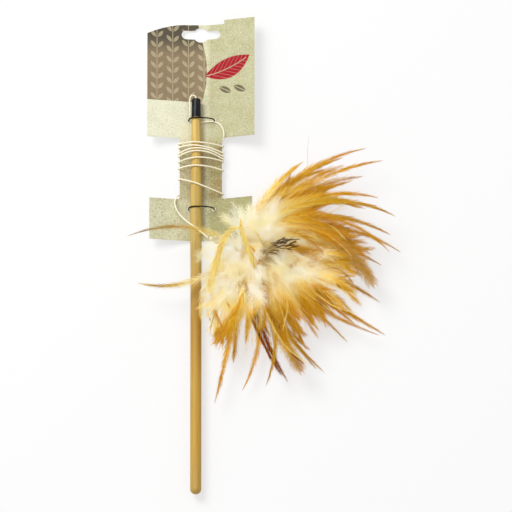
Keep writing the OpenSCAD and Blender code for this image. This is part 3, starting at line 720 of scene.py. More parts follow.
def featherTree():
    tree = bpy.data.node_groups.new("featherBarbs", "GeometryNodeTree")
    face = tree.interface
    face.new_socket(name="Shafts", in_out="INPUT", socket_type="NodeSocketGeometry")
    sizes = {"Spacing": 0.5 * mm, "Barb Width": 0.03, "Root Lean": 0.9, "Tip Lean": 0.3, "Ruffle": 0.1,
             "Loft": 0.2, "Curl": 1.0, "Quill": 1.0, "Floor": -7.0 * mm, "Segments": 4, "Seed": 1}
    for label, value in sizes.items():
        kind = "NodeSocketInt" if isinstance(value, int) else "NodeSocketFloat"
        face.new_socket(name=label, in_out="INPUT", socket_type=kind).default_value = value
    face.new_socket(name="Material", in_out="INPUT", socket_type="NodeSocketMaterial")
    face.new_socket(name="Feathers", in_out="OUTPUT", socket_type="NodeSocketGeometry")
    entry = tree.nodes.new("NodeGroupInput")
    given = {item.name: Wire(tree, entry.outputs[item.name])
             for item in face.items_tree if item.in_out == "INPUT"}
    w, seed = Wire(tree), given["Seed"]

    def attribute(name, kind="FLOAT"):
        return w.node("GeometryNodeInputNamedAttribute", {"data_type": kind}, {"Name": name})

    def chance(low, high, number):
        return w.node("FunctionNodeRandomValue", {"data_type": "FLOAT"}, {2: low, 3: high, 8: number}, 1)

    def keep(geometry, name, value):
        return w.node("GeometryNodeStoreNamedAttribute", {"data_type": "FLOAT", "domain": "POINT"},
                      {"Geometry": geometry, "Name": name, "Value": value})

    def vector(x, y, z):
        return w.node("ShaderNodeCombineXYZ", None, {"X": x, "Y": y, "Z": z})

    def spaced(step):
        return w.node("GeometryNodeResampleCurve", {"mode": "LENGTH"}, {"Curve": shafts, "Length": step})

    def tube(line, sides, section, scale):
        ring = w.node("GeometryNodeCurvePrimitiveCircle", None, {"Resolution": sides, "Radius": 1.0})
        ring = w.node("GeometryNodeTransform", None, {"Geometry": ring, "Scale": section})
        return w.node("GeometryNodeCurveToMesh", None,
                      {"Curve": line, "Profile Curve": ring, "Scale": scale, "Fill Caps": True})

    def turnedBy(rotation, y, z):
        euler = w.node("FunctionNodeEulerToRotation", None, {"Euler": vector(0.0, y, z)})
        return w.node("FunctionNodeRotateRotation", {"rotation_space": "LOCAL"},
                      {"Rotation": rotation, "Rotate By": euler})

    def gathered(parts):
        bundle = tree.nodes.new("GeometryNodeJoinGeometry")
        for part in parts:
            tree.links.new(part.socket, bundle.inputs[0])
        return Wire(tree, bundle.outputs[0])

    def barb(bend, sag):
        # a flat tapering hair one unit long, curved towards the feather's tip
        end = vector(given["Curl"] * -bend, 1.0, given["Curl"] * sag)
        line = w.node("GeometryNodeCurveQuadraticBezier", None,
                      {"Resolution": given["Segments"], "Start": (0, 0, 0), "Middle": (0, 0.55, 0),
                       "End": end})
        run = w.node("GeometryNodeSplineParameter")
        taper = given["Barb Width"] * (1 - 0.8 * run ** 2)
        hair = tube(keep(line, "run", run), 3, barbShape["section"], taper)
        return w.node("GeometryNodeGeometryToInstance", None, {"Geometry": hair})

    shafts = w.node("GeometryNodeMeshToCurve", None, {"Mesh": given["Shafts"]})
    points = keep(spaced(given["Spacing"]), "fleck", chance(0.0, 1.0, seed + 3))
    hairs = gathered([barb(bend, sag) for bend, sag in barbShape["bends"]])
    slant = given["Tip Lean"] - given["Root Lean"]
    lean = given["Root Lean"] + slant * attribute("share") + attribute("sway")
    aligned = w.node("FunctionNodeAxesToRotation", {"primary_axis": "Y", "secondary_axis": "Z"},
                     {"Primary Axis": attribute("heading", "FLOAT_VECTOR"),
                      "Secondary Axis": attribute("facing", "FLOAT_VECTOR")})
    grown = []
    for side, offset in ((1, 10), (-1, 20)):
        swing = lean + chance(-1.0, 1.0, seed + offset) * given["Ruffle"]
        loft = chance(*barbShape["loft"], seed + (offset + 1)) * given["Loft"]
        turn = turnedBy(aligned, loft * -side, 0.0)
        turn = turnedBy(turn, 0.0 if side > 0 else math.pi, swing * -side)
        reach = attribute("halfWidth") / lean.larger(barbShape["leastLean"]).maths("SINE")
        reach = reach * chance(*barbShape["reach"], seed + (offset + 2))
        pick = w.node("FunctionNodeRandomValue", {"data_type": "INT"},
                      {4: 0, 5: len(barbShape["bends"]) - 1, 8: seed + (offset + 4)}, 2)
        grown.append(w.node("GeometryNodeInstanceOnPoints", None,
                            {"Points": points, "Instance": hairs, "Pick Instance": True,
                             "Instance Index": pick, "Rotation": turn, "Scale": reach}))
    # the quills themselves
    thin = keep(keep(spaced(barbShape["quillStep"] * mm), "fleck", 0.5), "run", -0.5)
    grown.append(tube(thin, 6, (1, 1, 1), attribute("quill") * given["Quill"]))
    real = w.node("GeometryNodeRealizeInstances", None, {"Geometry": gathered(grown)})
    # no barb goes through what the lure lies on
    spot = w.node("GeometryNodeInputPosition")
    level = spot.axis(2).larger(given["Floor"] + chance(0.0, barbShape["grain"] * mm, 3))
    real = w.node("GeometryNodeSetPosition", None,
                  {"Geometry": real, "Position": vector(spot.axis(0), spot.axis(1), level)})
    done = w.node("GeometryNodeSetMaterial", None, {"Geometry": real, "Material": given["Material"]})
    leave = tree.nodes.new("NodeGroupOutput")
    tree.links.new(done.socket, leave.inputs["Feathers"])
    return tree


barbTree = featherTree()


def barbMarks(place):
    # tint comes along each shaft; run goes along a barb and is below 0 on a quill; fleck differs
    # from barb to barb
    return [place.node("ShaderNodeAttribute", {"attribute_name": name}, None, output)
            for name, output in (("tint", "Color"), ("run", "Fac"), ("fleck", "Fac"))]


def featherSheen(place):
    tint, run, fleck = barbMarks(place)
    # some barbs, picked at random, are lighter towards their tips: a painted highlight
    light = (0.35 * run.step(0.2, 1.0) * fleck).blend(tint, plumage["straw"])
    # other barbs, picked at random, are darker gold or olive: a painted shade between barbs
    tone = ((1 - fleck.step(0.0, 0.55)) * 0.45).blend(light, plumage["gold"], "MULTIPLY")
    tone = ((1 - fleck.step(0.0, 0.22)) * 0.5).blend(tone, plumage["olive"], "MULTIPLY")
    tone = ((1 - run.step(-0.4, -0.1)) * 0.7).blend(tone, plumage["gold"], "MULTIPLY")
    # the barbs glow a little in their own colour: painted light
    return {"Base Color": tone, "Emission Color": tone, "Roughness": 0.45 + fleck * 0.25}


def downSheen(place):
    tint, _, fleck = barbMarks(place)
    # cloudy straw patches in the white down are painted shade; the barbs also differ at random
    cloud = place.noise(70, (1, 1, 1), 1).step(0.4, 0.7)
    tone = ((1 - fleck) * 0.16 + cloud * 0.3).blend(tint, plumage["straw"])
    # the down glows a little in its own colour: painted light
    return {"Base Color": tone, "Emission Color": tone, "Roughness": 0.8 - fleck * 0.1}


def letLightThrough(material, share):
    # thin barbs pass part of the light on, so a mass of them stays bright inside
    tree = material.node_tree
    shader = tree.nodes["Principled BSDF"]
    w = Wire(tree)
    colour = Wire(tree, shader.inputs["Base Color"].links[0].from_socket)
    through = w.node("ShaderNodeBsdfTranslucent", None, {"Color": colour})
    both = w.node("ShaderNodeMixShader", None, {0: share, 1: Wire(tree, shader.outputs[0]), 2: through})
    tree.links.new(both.socket, tree.nodes["Material Output"].inputs["Surface"])


plumage = {"white": paint(255, 255, 252), "cream": paint(255, 252, 232), "straw": paint(252, 238, 156),
           "amber": paint(244, 216, 84), "gold": paint(234, 196, 44), "deepGold": paint(224, 174, 32),
           "pinkTan": paint(220, 168, 74), "rust": paint(160, 76, 6), "brown": paint(180, 120, 38),
           "tan": paint(212, 176, 94), "olive": paint(176, 146, 66), "grey": paint(170, 148, 104),
           "ink": paint(64, 40, 30), "shine": paint(255, 214, 120), "glow": 0.24, "through": (0.42, 0.5)}
# both barb materials glow a little in their own colour: painted light for what scatters through a mass of
# barbs
featherBarb = newMaterial("featherBarb", {"Specular IOR Level": 0.3, "Specular Tint": plumage["shine"],
                                          "Emission Strength": plumage["glow"]}, featherSheen)
downBarb = newMaterial("downBarb", {"Specular IOR Level": 0.05, "Emission Strength": plumage["glow"]},
                       downSheen)
letLightThrough(featherBarb, plumage["through"][0])
letLightThrough(downBarb, plumage["through"][1])

# Dyes: share of the way from root to tip, colour
dyes = {
    "golden": [(0, "white"), (0.2, "cream"), (0.36, "straw"), (0.5, "amber"), (0.66, "gold"),
               (0.9, "deepGold"), (1, "deepGold")],
    "pale": [(0, "white"), (0.3, "cream"), (0.56, "straw"), (0.76, "amber"), (1, "gold")],
    "pink": [(0, "white"), (0.2, "cream"), (0.4, "straw"), (0.6, "gold"), (0.84, "pinkTan"),
             (1, "pinkTan")],
    "deep": [(0, "cream"), (0.15, "straw"), (0.34, "gold"), (0.6, "deepGold"), (1, "deepGold")],
    "rust": [(0, "cream"), (0.2, "amber"), (0.32, "brown"), (0.45, "rust"), (0.85, "rust"), (1, "brown")],
    "blunt": [(0, "cream"), (0.3, "straw"), (0.7, "tan"), (1, "tan")],
    "umber": [(0, "cream"), (0.3, "amber"), (0.75, "gold"), (0.9, "tan"), (1, "pinkTan")],
    "ribbon": [(0, "straw"), (1, "straw")],
    "milk": [(0, "white"), (0.6, "cream"), (1, "straw")],
    "stray": [(0, "white"), (0.3, "cream"), (0.6, "straw"), (0.8, "tan"), (1, "straw")],
    "olive": [(0, "cream"), (0.3, "straw"), (0.55, "tan"), (0.85, "olive"), (1, "tan")],
    "strand": [(0, "cream"), (0.6, "straw"), (1, "amber")],
    "brownish": [(0, "straw"), (0.3, "gold"), (0.6, "brown"), (1, "deepGold")],
    "lock": [(0, "cream"), (0.2, "straw"), (0.45, "amber"), (0.7, "gold"), (1, "deepGold")],
    "soft": [(0, "white"), (0.35, "cream"), (0.7, "straw"), (1, "amber")],
    "down": [(0, "white"), (0.6, "white"), (1, "cream")],
    "greyDown": [(0, "grey"), (0.7, "grey"), (1, "straw")],
    "dark": [(0, "grey"), (0.25, "ink"), (1, "ink")]
}
softDyes = ("down", "soft", "milk", "greyDown", "ribbon")
brightness = {"soft": 0.03, "stiff": 0.08, "pace": 37}    # no two feathers are equally bright
shaftFields = {"heading": "FLOAT_VECTOR", "facing": "FLOAT_VECTOR", "tint": "FLOAT_VECTOR", "share": "FLOAT",
               "halfWidth": "FLOAT", "sway": "FLOAT", "quill": "FLOAT"}


def dyed(name, share):
    stops = dyes[name]
    colours = np.array([plumage[c][:3] for _, c in stops])
    return np.stack([np.interp(share, [s for s, _ in stops], colours[:, k]) for k in range(3)], axis=1)


def shaft(points, dye, width, stations, rng, roll=0.0, quill=0.35, sway=0.08, splay=0.0, lean=0.0):
    # one shaft with what the barbs need at each of its points: roll turns the whole feather, sway and
    # splay change the barbs' lean on the way to the tip, lean changes it all along
    count = len(points)
    share = np.linspace(0, 1, count)
    along = headings(points)
    up = np.array([0, 0, 1.0])
    side = unit(np.cross(along, up))
    top = np.cross(side, along)
    facing = top * math.cos(roll) + side * math.sin(roll)
    waves = sum(np.sin(share * k + rng.uniform(0, 6.3)) for k in (9, 17, 31)) / 3
    half = width / 2 * np.interp(share, *stations)
    change = brightness["soft" if dye in softDyes else "stiff"]
    tint = dyed(dye, share) * (1 + change * math.sin(brightness["pace"] * points[-1, 0]))
    return {"points": points, "heading": along, "facing": facing, "share": share, "halfWidth": half * mm,
            "tint": tint, "sway": waves * sway + splay * share + lean,
            "quill": quill * mm * (1 - 0.8 * share)}


def growFeathers(name, shafts, settings, material, replaced):
    mesh = bpy.data.meshes.new(name)
    points = np.concatenate([s["points"] for s in shafts]) * mm
    edges, first = [], 0
    for s in shafts:
        edges += [(first + i, first + i + 1) for i in range(len(s["points"]) - 1)]
        first += len(s["points"])
    mesh.from_pydata(points.tolist(), edges, [])
    for key, kind in shaftFields.items():
        values = np.concatenate([s[key] for s in shafts]).astype(np.float32)
        layer = mesh.attributes.new(key, kind, "POINT")
        layer.data.foreach_set("vector" if kind == "FLOAT_VECTOR" else "value", values.ravel())
    piece = placed(name, mesh)
    grower = piece.modifiers.new("barbs", "NODES")
    grower.node_group = barbTree
    sockets = {item.name: item.identifier
               for item in barbTree.interface.items_tree if item.in_out == "INPUT"}
    for label, value in settings.items():
        grower[sockets[label]] = value
    grower[sockets["Floor"]] = (cadBox[0][2] / mm + 0.02) * mm
    grower[sockets["Material"]] = material
    graph = bpy.context.evaluated_depsgraph_get()
    grown = bpy.data.meshes.new_from_object(piece.evaluated_get(graph), preserve_all_data_layers=True,
                                            depsgraph=graph)
    piece.modifiers.remove(grower)
    piece.data = grown
    bpy.data.meshes.remove(mesh)
    grown.name = name
    for key in shaftFields:
        if key != "tint" and key in grown.attributes:
            grown.attributes.remove(grown.attributes[key])
    print(name, "has", len(shafts), "shafts and", len(grown.loop_triangles) or len(grown.polygons), "faces")
    attach(piece, "lure", replaced)


# The hackles of the model: layer from the bottom, direction, length share, sweep, width share, dye
fan = {"rootSpread": 9.6, "length": 135.0, "width": 13.0, "crownR": 60.0, "crownRise": 13.0,
       "crownDrop": 8.0, "lowZ": -6.33, "top": 14, "quillT": 0.6, "rootGap": 0.25}
hackleShares = [
    [0, -31, 1, -2, 0.8, "golden"], [0, -21, 0.89, -28, 0.75, "deep"], [0, -58, 0.84, 15, 0.75, "pink"],
    [1, -34, 0.81, -15, 0.85, "deep"], [1, -2, 0.48, -30, 0.9, "pale"], [1, -56, 0.9, 28, 0.7, "golden"],
    [2, -7, 0.85, -50, 0.85, "pink"], [2, -42, 0.84, -10, 0.7, "golden"], [2, -87, 0.56, -20, 0.9, "pale"],
    [3, -14, 0.71, -50, 0.9, "pale"], [3, -52, 0.5, 0, 0.95, "pale"], [3, -97, 0.4, 0, 0.9, "soft"],
    [4, -29, 0.63, -20, 0.9, "golden"], [4, -90, 0.9, -55, 0.75, "golden"], [4, -108, 0.35, 20, 0.8, "soft"],
    [5, 12, 0.73, -50, 0.85, "golden"], [5, -48, 0.67, -10, 0.85, "pale"], [5, -72, 0.56, 10, 0.85, "rust"],
    [6, 31, 0.76, -30, 0.85, "golden"], [6, -33, 0.98, 28, 0.7, "pink"], [6, -99, 0.96, -12, 0.8, "golden"],
    [7, 41, 0.82, -45, 0.8, "deep"], [7, -3, 0.98, -60, 0.75, "deep"], [7, -71, 0.87, 22, 0.85, "rust"],
    [7, -114, 0.52, 60, 0.8, "milk"],
    [8, 3, 0.93, -65, 0.8, "golden"], [8, -59, 0.73, -10, 0.85, "golden"],
    [8, -160, 0.67, -70, 0.75, "stray"],
    [9, 38, 0.97, -48, 0.75, "golden"], [9, -19, 0.92, -90, 1, "blunt"], [9, -65, 0.85, 10, 1, "umber"],
    [9, -94, 0.62, 90, 0.6, "deep"],
    [10, 31, 1, -40, 0.8, "golden"], [10, -81, 0.92, -60, 0.8, "golden"], [11, 18, 0.89, -60, 0.8, "golden"],
    [12, 52, 0.6, -30, 0.85, "pale"], [12, -5, 0.97, -85, 0.75, "deep"],
    [13, 67, 0.36, -20, 0.8, "down"], [13, 9, 0.99, -70, 0.85, "golden"], [13, -60, 0.28, -100, 0.7, "soft"],
    [13, -138, 0.37, 120, 0.6, "soft"],
    [14, 98, 0.28, -10, 0.6, "down"], [14, 50, 0.33, -10, 0.6, "down"], [14, 179, 0.67, 43, 0.55, "olive"]
]
hackleStations = ([0, 0.06, 0.12, 0.2, 0.3, 0.45, 0.6, 0.75, 0.86, 0.94, 1],
                  [0.3, 0.8, 1.15, 1.25, 1.15, 0.95, 0.78, 0.58, 0.4, 0.24, 0.1])
bluntStations = ([0, 0.06, 0.12, 0.2, 0.5, 0.8, 0.93, 1], [0.3, 0.8, 1.1, 1.1, 1, 0.95, 0.8, 0.4])
fanTurn = math.radians(lure["turn"])
fanAt = lure["at"] + lure["bindingLen"] * np.array([math.cos(fanTurn), math.sin(fanTurn), 0])


def layerLevel(layer, r):
    # how high a layer lies at a distance from the ball's middle
    start, ball = lure["ballR"] * 1.3, lure["ballR"]
    low = mix(fanAt[2] - fan["rootSpread"] / 2, fan["lowZ"], ease((r - start) / (fan["crownR"] - start)))
    fall = np.maximum(0, r - fan["crownR"]) / (fan["length"] - fan["crownR"])
    crown = fan["crownRise"] * ease((r - ball) / (fan["crownR"] - ball))
    high = fanAt[2] + fan["rootSpread"] / 2 + crown - fan["crownDrop"] * fall ** 2
    return mix(low, high, layer / fan["top"])


def hackleLine(layer, direction, length, sweepAngle, count=28):
    # the quill's line: straight off the ball, then an even sweep on its own layer
    start = math.radians(direction - sweepAngle / 2)
    lift = fan["rootSpread"] * (layer / fan["top"] - 0.5)
    root = math.sqrt(lure["ballR"] ** 2 - max(0, abs(lift) - fan["quillT"] / 2) ** 2) + fan["rootGap"] - 1
    turn = start + math.radians(sweepAngle) * np.linspace(0, 1, count)
    middles = (turn[1:] + turn[:-1]) / 2
    step = fan["length"] * length / (count - 1)
    x = root * math.cos(start) + np.concatenate([[0], np.cumsum(np.cos(middles))]) * step
    y = root * math.sin(start) + np.concatenate([[0], np.cumsum(np.sin(middles))]) * step
    return np.stack([x + fanAt[0], y + fanAt[1], layerLevel(layer, np.hypot(x, y))], axis=1)


# Shorter, softer feathers fill the fan beside the hackles. Each row of beside: from direction,
# to direction, how many for each hackle. Twins: the feathers on both sides of a blunt hackle
hackle = {"spacing": 0.6, "barbWidth": 0.046, "seed": 7, "roll": 0.35, "quill": 0.35, "sway": 0.08,
          "bluntSplay": 0.3, "bluntDyes": ("blunt", "umber"), "softDyes": ("down", "soft"),
          "softQuill": 0.15, "softSway": 0.35, "parts": 4}
filler = {"beside": ((-112, -66, 1), (-66, 46, 3)), "twins": (-1.2, 1.2), "turn": 9.0, "layers": (0.1, 1.1),
          "length": (0.5, 0.85), "width": 1.3, "dyes": ("golden", "deep", "pink", "golden"), "roll": 0.5,
          "quill": 0.28, "sway": 0.14, "spacing": 0.6, "barbWidth": 0.028, "parts": 5}
vane = {"Root Lean": 0.85, "Tip Lean": 0.24, "Ruffle": 0.12, "Loft": 0.3, "Curl": 1.0, "Quill": 1.0,
        "Segments": 4}
down = {"Root Lean": 1.1, "Tip Lean": 0.7, "Ruffle": 0.7, "Loft": 1.0, "Curl": 2.4, "Quill": 0.5,
        "Segments": 2}


def hackleShafts():
    # the hackles in the model's order, and the feathers beside them
    rng = np.random.default_rng(hackle["seed"])
    own, beside = [], []
    for layer, direction, length, bow, share, dye in hackleShares:
        blunt, soft, width = dye in hackle["bluntDyes"], dye in hackle["softDyes"], fan["width"] * share
        own.append(shaft(hackleLine(layer, direction, length, bow), dye, width,
                         bluntStations if blunt else hackleStations, rng,
                         roll=rng.uniform(-hackle["roll"], hackle["roll"]),
                         quill=hackle["softQuill" if soft else "quill"],
                         sway=hackle["softSway" if soft else "sway"],
                         splay=hackle["bluntSplay"] if blunt or soft else 0.0))
        count = sum(n for low, high, n in filler["beside"] if low <= direction < high)
        for shift in (filler["twins"] if blunt else ()):
            line = hackleLine(layer + shift * 0.3, direction + shift, length * 0.97, bow)
            beside.append(shaft(line, dye, width, bluntStations, rng, roll=shift * 0.1,
                                splay=hackle["bluntSplay"]))
        for _ in range(0 if blunt or dye == "rust" else count):
            turn = rng.uniform(-1, 1) * filler["turn"]
            line = hackleLine(min(layer + rng.uniform(*filler["layers"]), fan["top"]), direction + turn,
                              length * rng.uniform(*filler["length"]), bow + turn)
            colour = filler["dyes"][rng.integers(len(filler["dyes"]))]
            beside.append(shaft(line, colour, width * filler["width"], hackleStations, rng,
                                roll=rng.uniform(-filler["roll"], filler["roll"]), quill=filler["quill"],
                                sway=filler["sway"]))
    return own, beside


def growParts(label, shafts, parts, settings, material, names=None):
    # several pieces of about the same number of shafts; names: the hackles that each shaft stands for
    for k in range(parts):
        some = slice(len(shafts) * k // parts, len(shafts) * (k + 1) // parts)
        growFeathers(f"{label}{k + 1}", shafts[some], settings | {"Seed": barbShape["seed"] + k}, material,
                     names[some] if names else ())


def barbs(kind, spacing, width, **others):
    # settings of the tree for one kind of feather, the spacing in millimetres
    return kind | {"Spacing": spacing * mm, "Barb Width": width} | others


def makeHackles():
    own, beside = hackleShafts()
    names = [f"hackle_{i + 1:02d}" for i in range(len(own))]
    stiff, soft = ([i for i, row in enumerate(hackleShares) if (row[5] in hackle["softDyes"]) == wanted]
                   for wanted in (False, True))
    growParts("hackles", [own[i] for i in stiff], hackle["parts"],
              barbs(vane, hackle["spacing"], hackle["barbWidth"]), featherBarb, [names[i] for i in stiff])
    growParts("fillers", beside, filler["parts"],
              barbs(vane, filler["spacing"], filler["barbWidth"], Segments=3), featherBarb)
    growParts("downs", [own[i] for i in soft], 1,
              barbs(down, plume["spacing"] * 1.5, plume["barbWidth"]), downBarb, [names[i] for i in soft])


# Tufts of soft plumes over the hackles' roots: place, direction, spread, count, length, width, dye
plume = {"spacing": 0.26, "barbWidth": 0.013, "seed": 23, "level": 26.0, "crown": 0.0042,
         "crownAt": (12.0, -10.0), "above": 5.0, "reach": 12.0, "parts": 6, "more": 1.45, "scatter": 5.0,
         "drop": (0, 3), "size": (0.75, 1.15), "bow": (-50, 20), "rise": (-4, 3), "width": (0.7, 1.15),
         "roll": 0.7, "quill": 0.12, "sway": 0.25, "raised": {"down": 1.5, "greyDown": 3.5, "strand": 3.5}}
plumeStations = ([0, 0.1, 0.3, 0.6, 0.85, 1], [0.6, 1, 1.1, 0.9, 0.6, 0.25])
tufts = [
    [(32, 182), 200, 180, 9, 15, 14, "down"], [(47, 184), -60, 180, 9, 15, 15, "down"],
    [(26, 172), 235, 60, 7, 16, 13, "milk"], [(36, 200), 150, 70, 8, 17, 14, "down"],
    [(50, 212), 100, 60, 8, 22, 14, "down"], [(62, 218), 62, 50, 8, 22, 15, "down"],
    [(40, 218), 120, 45, 7, 20, 13, "down"], [(82, 189), -15, 70, 8, 20, 15, "down"],
    [(93, 187), -20, 60, 6, 20, 14, "soft"], [(60, 190), -30, 90, 8, 20, 15, "down"],
    [(42, 172), -75, 60, 6, 24, 14, "down"], [(30, 165), -95, 35, 7, 22, 15, "soft"],
    [(48, 164), -80, 60, 5, 28, 11, "soft"], [(66, 176), -50, 35, 5, 26, 14, "soft"],
    [(78, 208), 35, 40, 5, 22, 14, "soft"], [(24, 190), 200, 50, 6, 12, 12, "soft"],
    [(18, 196), 170, 60, 7, 12, 12, "down"], [(20, 168), 200, 90, 7, 12, 13, "down"],
    [(33, 222), 120, 60, 4, 10, 11, "down"], [(56, 206), 80, 70, 7, 18, 14, "down"],
    [(66, 187), -30, 60, 6, 18, 14, "down"], [(76, 184), -40, 40, 5, 18, 13, "soft"],
    [(48, 181), 0, 180, 8, 9, 10, "down"], [(30, 182), 0, 180, 6, 8, 9, "down"],
    [(55, 193), 20, 90, 14, 10, 9, "greyDown"], [(62, 197), 15, 60, 10, 10, 8, "greyDown"],
    [(77, 187), -5, 60, 6, 14, 12, "down"]
]
# Short golden feathers between and beyond the tufts
lock = {"more": 1.0, "roll": 0.4, "quill": 0.25, "sway": 0.1, "thicker": 1.2, "parts": 2}
locks = [
    [(90, 184), -22, 26, 10, 42, 11, "pale"], [(76, 176), -42, 20, 8, 44, 11, "deep"],
    [(84, 178), -30, 16, 6, 38, 10, "brownish"], [(62, 168), -62, 20, 5, 42, 11, "deep"],
    [(58, 160), -60, 18, 7, 40, 10, "brownish"], [(94, 196), 0, 24, 9, 42, 11, "lock"],
    [(88, 210), 16, 24, 9, 42, 11, "deep"], [(74, 222), 36, 20, 8, 40, 11, "deep"],
    [(62, 232), 58, 16, 5, 34, 10, "deep"], [(34, 156), -98, 16, 5, 34, 10, "lock"],
    [(24, 152), -106, 12, 5, 30, 9, "lock"], [(98, 200), -8, 30, 6, 30, 10, "pale"],
    [(48, 166), -75, 45, 7, 34, 7, "pale"], [(24, 166), -110, 20, 4, 26, 9, "milk"]
]
# Thin bright strands that lie over the tufts
strand = {"more": 1.0, "roll": 0.2, "quill": 0.12, "sway": 0.05, "spacing": 1.0, "barbWidth": 0.09}
strands = [
    [(84, 190), -18, 40, 14, 50, 1.8, "strand"], [(64, 176), -52, 26, 12, 52, 1.8, "strand"],
    [(78, 212), 20, 30, 11, 46, 1.8, "strand"], [(44, 164), -84, 24, 9, 46, 1.8, "strand"],
    [(62, 226), 52, 20, 8, 40, 1.8, "strand"], [(86, 196), 0, 40, 8, 48, 1.8, "brownish"]
]


def plumeLine(root, direction, length, bow, rise, count=10):
    # a short line that bows to one side and rises before it falls
    t = np.linspace(0, 1, count)
    turn = math.radians(direction) + math.radians(bow) * (t - 0.3)
    x = root[0] + np.cumsum(np.cos(turn)) * length / count
    y = root[1] + np.cumsum(np.sin(turn)) * length / count
    z = root[2] + rise * np.sin(t * math.pi * 0.75)
    return np.stack([x, y, z], axis=1)


hacklePoints = np.concatenate([hackleLine(*row[:4]) for row in hackleShares])


def restingLevel(line):
    # what carries a feather: the highest hackle near each of its points, evened out along it
    tops = []
    for x, y, _ in line:
        near = np.hypot(hacklePoints[:, 0] - x, hacklePoints[:, 1] - y) < plume["reach"]
        tops.append(hacklePoints[near, 2].max() if near.any() else tops[-1] if tops else 0.0)
    padded = np.concatenate([tops[:1] * 2, tops, tops[-1:] * 2])
    return np.convolve(padded, np.ones(5) / 5, "valid")


def plumeShafts(rows, kind):
    rng = np.random.default_rng(plume["seed"])
    shafts = []
    for place, direction, spread, count, length, width, dye in rows:
        for _ in range(round(count * kind["more"])):
            at = np.array(place) + rng.uniform(-plume["scatter"], plume["scatter"], 2)
            away = np.linalg.norm(at - fanAt[:2] - plume["crownAt"])
            level = plume["level"] - plume["crown"] * away ** 2 - rng.uniform(*plume["drop"])
            size = length * rng.uniform(*plume["size"])
            line = plumeLine([*at, 0], direction + rng.uniform(-1, 1) * spread, size,
                             rng.uniform(*plume["bow"]), rng.uniform(*plume["rise"]))
            carried = np.minimum(level, restingLevel(line) + plume["above"])
            line[:, 2] += carried + plume["raised"].get(dye, 0.0)
            shafts.append(shaft(line, dye, width * rng.uniform(*plume["width"]), plumeStations, rng,
                                roll=rng.uniform(-1, 1) * kind["roll"], quill=kind["quill"],
                                sway=kind["sway"]))
    return shafts


makeHackles()
growParts("plumes", plumeShafts(tufts, plume), plume["parts"],
          barbs(down, plume["spacing"], plume["barbWidth"]), downBarb)
growParts("locks", plumeShafts(locks, lock), lock["parts"],
          barbs(vane, filler["spacing"], filler["barbWidth"] * lock["thicker"], Segments=3), featherBarb)
growParts("strands", plumeShafts(strands, strand), 1,
          barbs(vane, strand["spacing"], strand["barbWidth"], Segments=2), featherBarb)

# Single feathers that stand out on top: route, width, dye
single = {
    "loopLeft": ([(37, 215, 31), (32, 214.3, 31), (26, 209.3, 29.5), (20.6, 199, 27.5), (16.5, 187.4, 24.5),
                  (12.4, 168.2, 20)], 7, "ribbon"),
    "loopRight": ([(36.8, 223, 30.5), (37.3, 215, 31.2), (40.4, 204.8, 31.5), (43.7, 195.3, 31),
                   (47, 185.8, 30)], 6, "ribbon"),
    "loopThin": ([(37, 214.8, 31), (44.6, 215.3, 31), (49.5, 211, 31), (52.8, 205.6, 30.5),
                  (54.5, 201.9, 30)], 2.2, "pale"),
    "edgeCurl": ([(14, 174, 22), (9, 160, 17), (8.5, 150, 13), (12, 141, 10)], 2.4, "down"),
    "rustOver": ([(38, 160, 22), (46, 141, 19), (55, 122, 14), (63, 108, 9), (69, 99, 5)], 4.5, "rust"),
    "leftVane": ([(39.6, 168, 25), (37, 156, 23), (31, 143, 19.5), (24, 131, 16)], 10, "deep"),
    "leftRound": ([(30, 162, 24), (22, 157, 21), (17, 149, 17.5), (17, 139, 14.5)], 8, "milk"),
    "underCurl": ([(9, 152, 12), (12, 142, 10.5), (18, 136, 9.5), (27, 132, 9)], 2.0, "rust"),
    "wisp": ([(91, 262, 10), (92.3, 272, 12), (92, 284, 12.5), (93, 300, 12)], 0.5, "golden")
}
# Thin curls on top of the fan, their routes in pixels of the photograph: route, width, dye
curls = [
    ([(316, 231), (328, 236), (337, 242), (345, 249), (351, 256)], 1.9, "ribbon"),
    ([(326, 224), (334, 228), (340, 234), (346, 240)], 1.9, "ribbon"),
    ([(300, 283), (304, 290), (312, 297), (322, 304), (331, 311)], 1.9, "ribbon"),
    ([(309, 284), (314, 292), (322, 298), (330, 304), (342, 309), (356, 313)], 1.9, "ribbon"),
    ([(287, 298), (287, 310), (285, 320), (283, 329)], 1.9, "ribbon"),
    ([(262, 303), (268, 316), (276, 332), (284, 344), (296, 355), (310, 364)], 2.1, "ribbon"),
    ([(244, 291), (243.5, 305), (242, 318)], 1.9, "ribbon"),
    ([(318, 271), (332, 268), (340, 270), (347, 276), (354, 285)], 1.8, "brownish"),
    ([(283, 351), (290, 353), (297, 358), (303, 363)], 1.8, "rust")
]
curl = {"above": 8.0, "step": 1.0, "rounds": 3}
loose = {"seed": 5, "step": 0.8, "quill": 0.2, "sway": 0.05, "lean": -0.35, "spacing": 0.4,
         "barbWidth": 0.05, "tipLean": 0.4}
# Separate dark barbs on the grey-brown patch
darkBarb = {"seed": 9, "count": 22, "x": (58, 76), "y": (192, 202), "climb": 0.2, "z": (29.5, 31.5),
            "turn": (-10, 45), "length": (5, 10), "bow": (-40, 0), "rise": 0.5, "width": 1.7, "quill": 0.3,
            "lean": -0.3, "barbWidth": 0.06}


def overFan(pixels):
    # a route read off the photograph, laid over the hackles that carry it
    line = smooth([(x, y, 0) for x, y in pixels], curl["step"])
    x = (line[:, 0] - view["dowelPixelX"]) * view["mmPerPixel"]
    up = (view["gripEndPixelY"] - line[:, 1]) * view["mmPerPixel"]
    share = np.linspace(0, 1, len(x))
    z = np.full(len(x), plume["level"])
    for _ in range(curl["rounds"]):
        points = np.stack([x, (up - z * math.cos(viewTilt)) / math.sin(viewTilt), z], axis=1)
        z = np.polyval(np.polyfit(share, restingLevel(points), 2), share) + curl["above"]
    return points


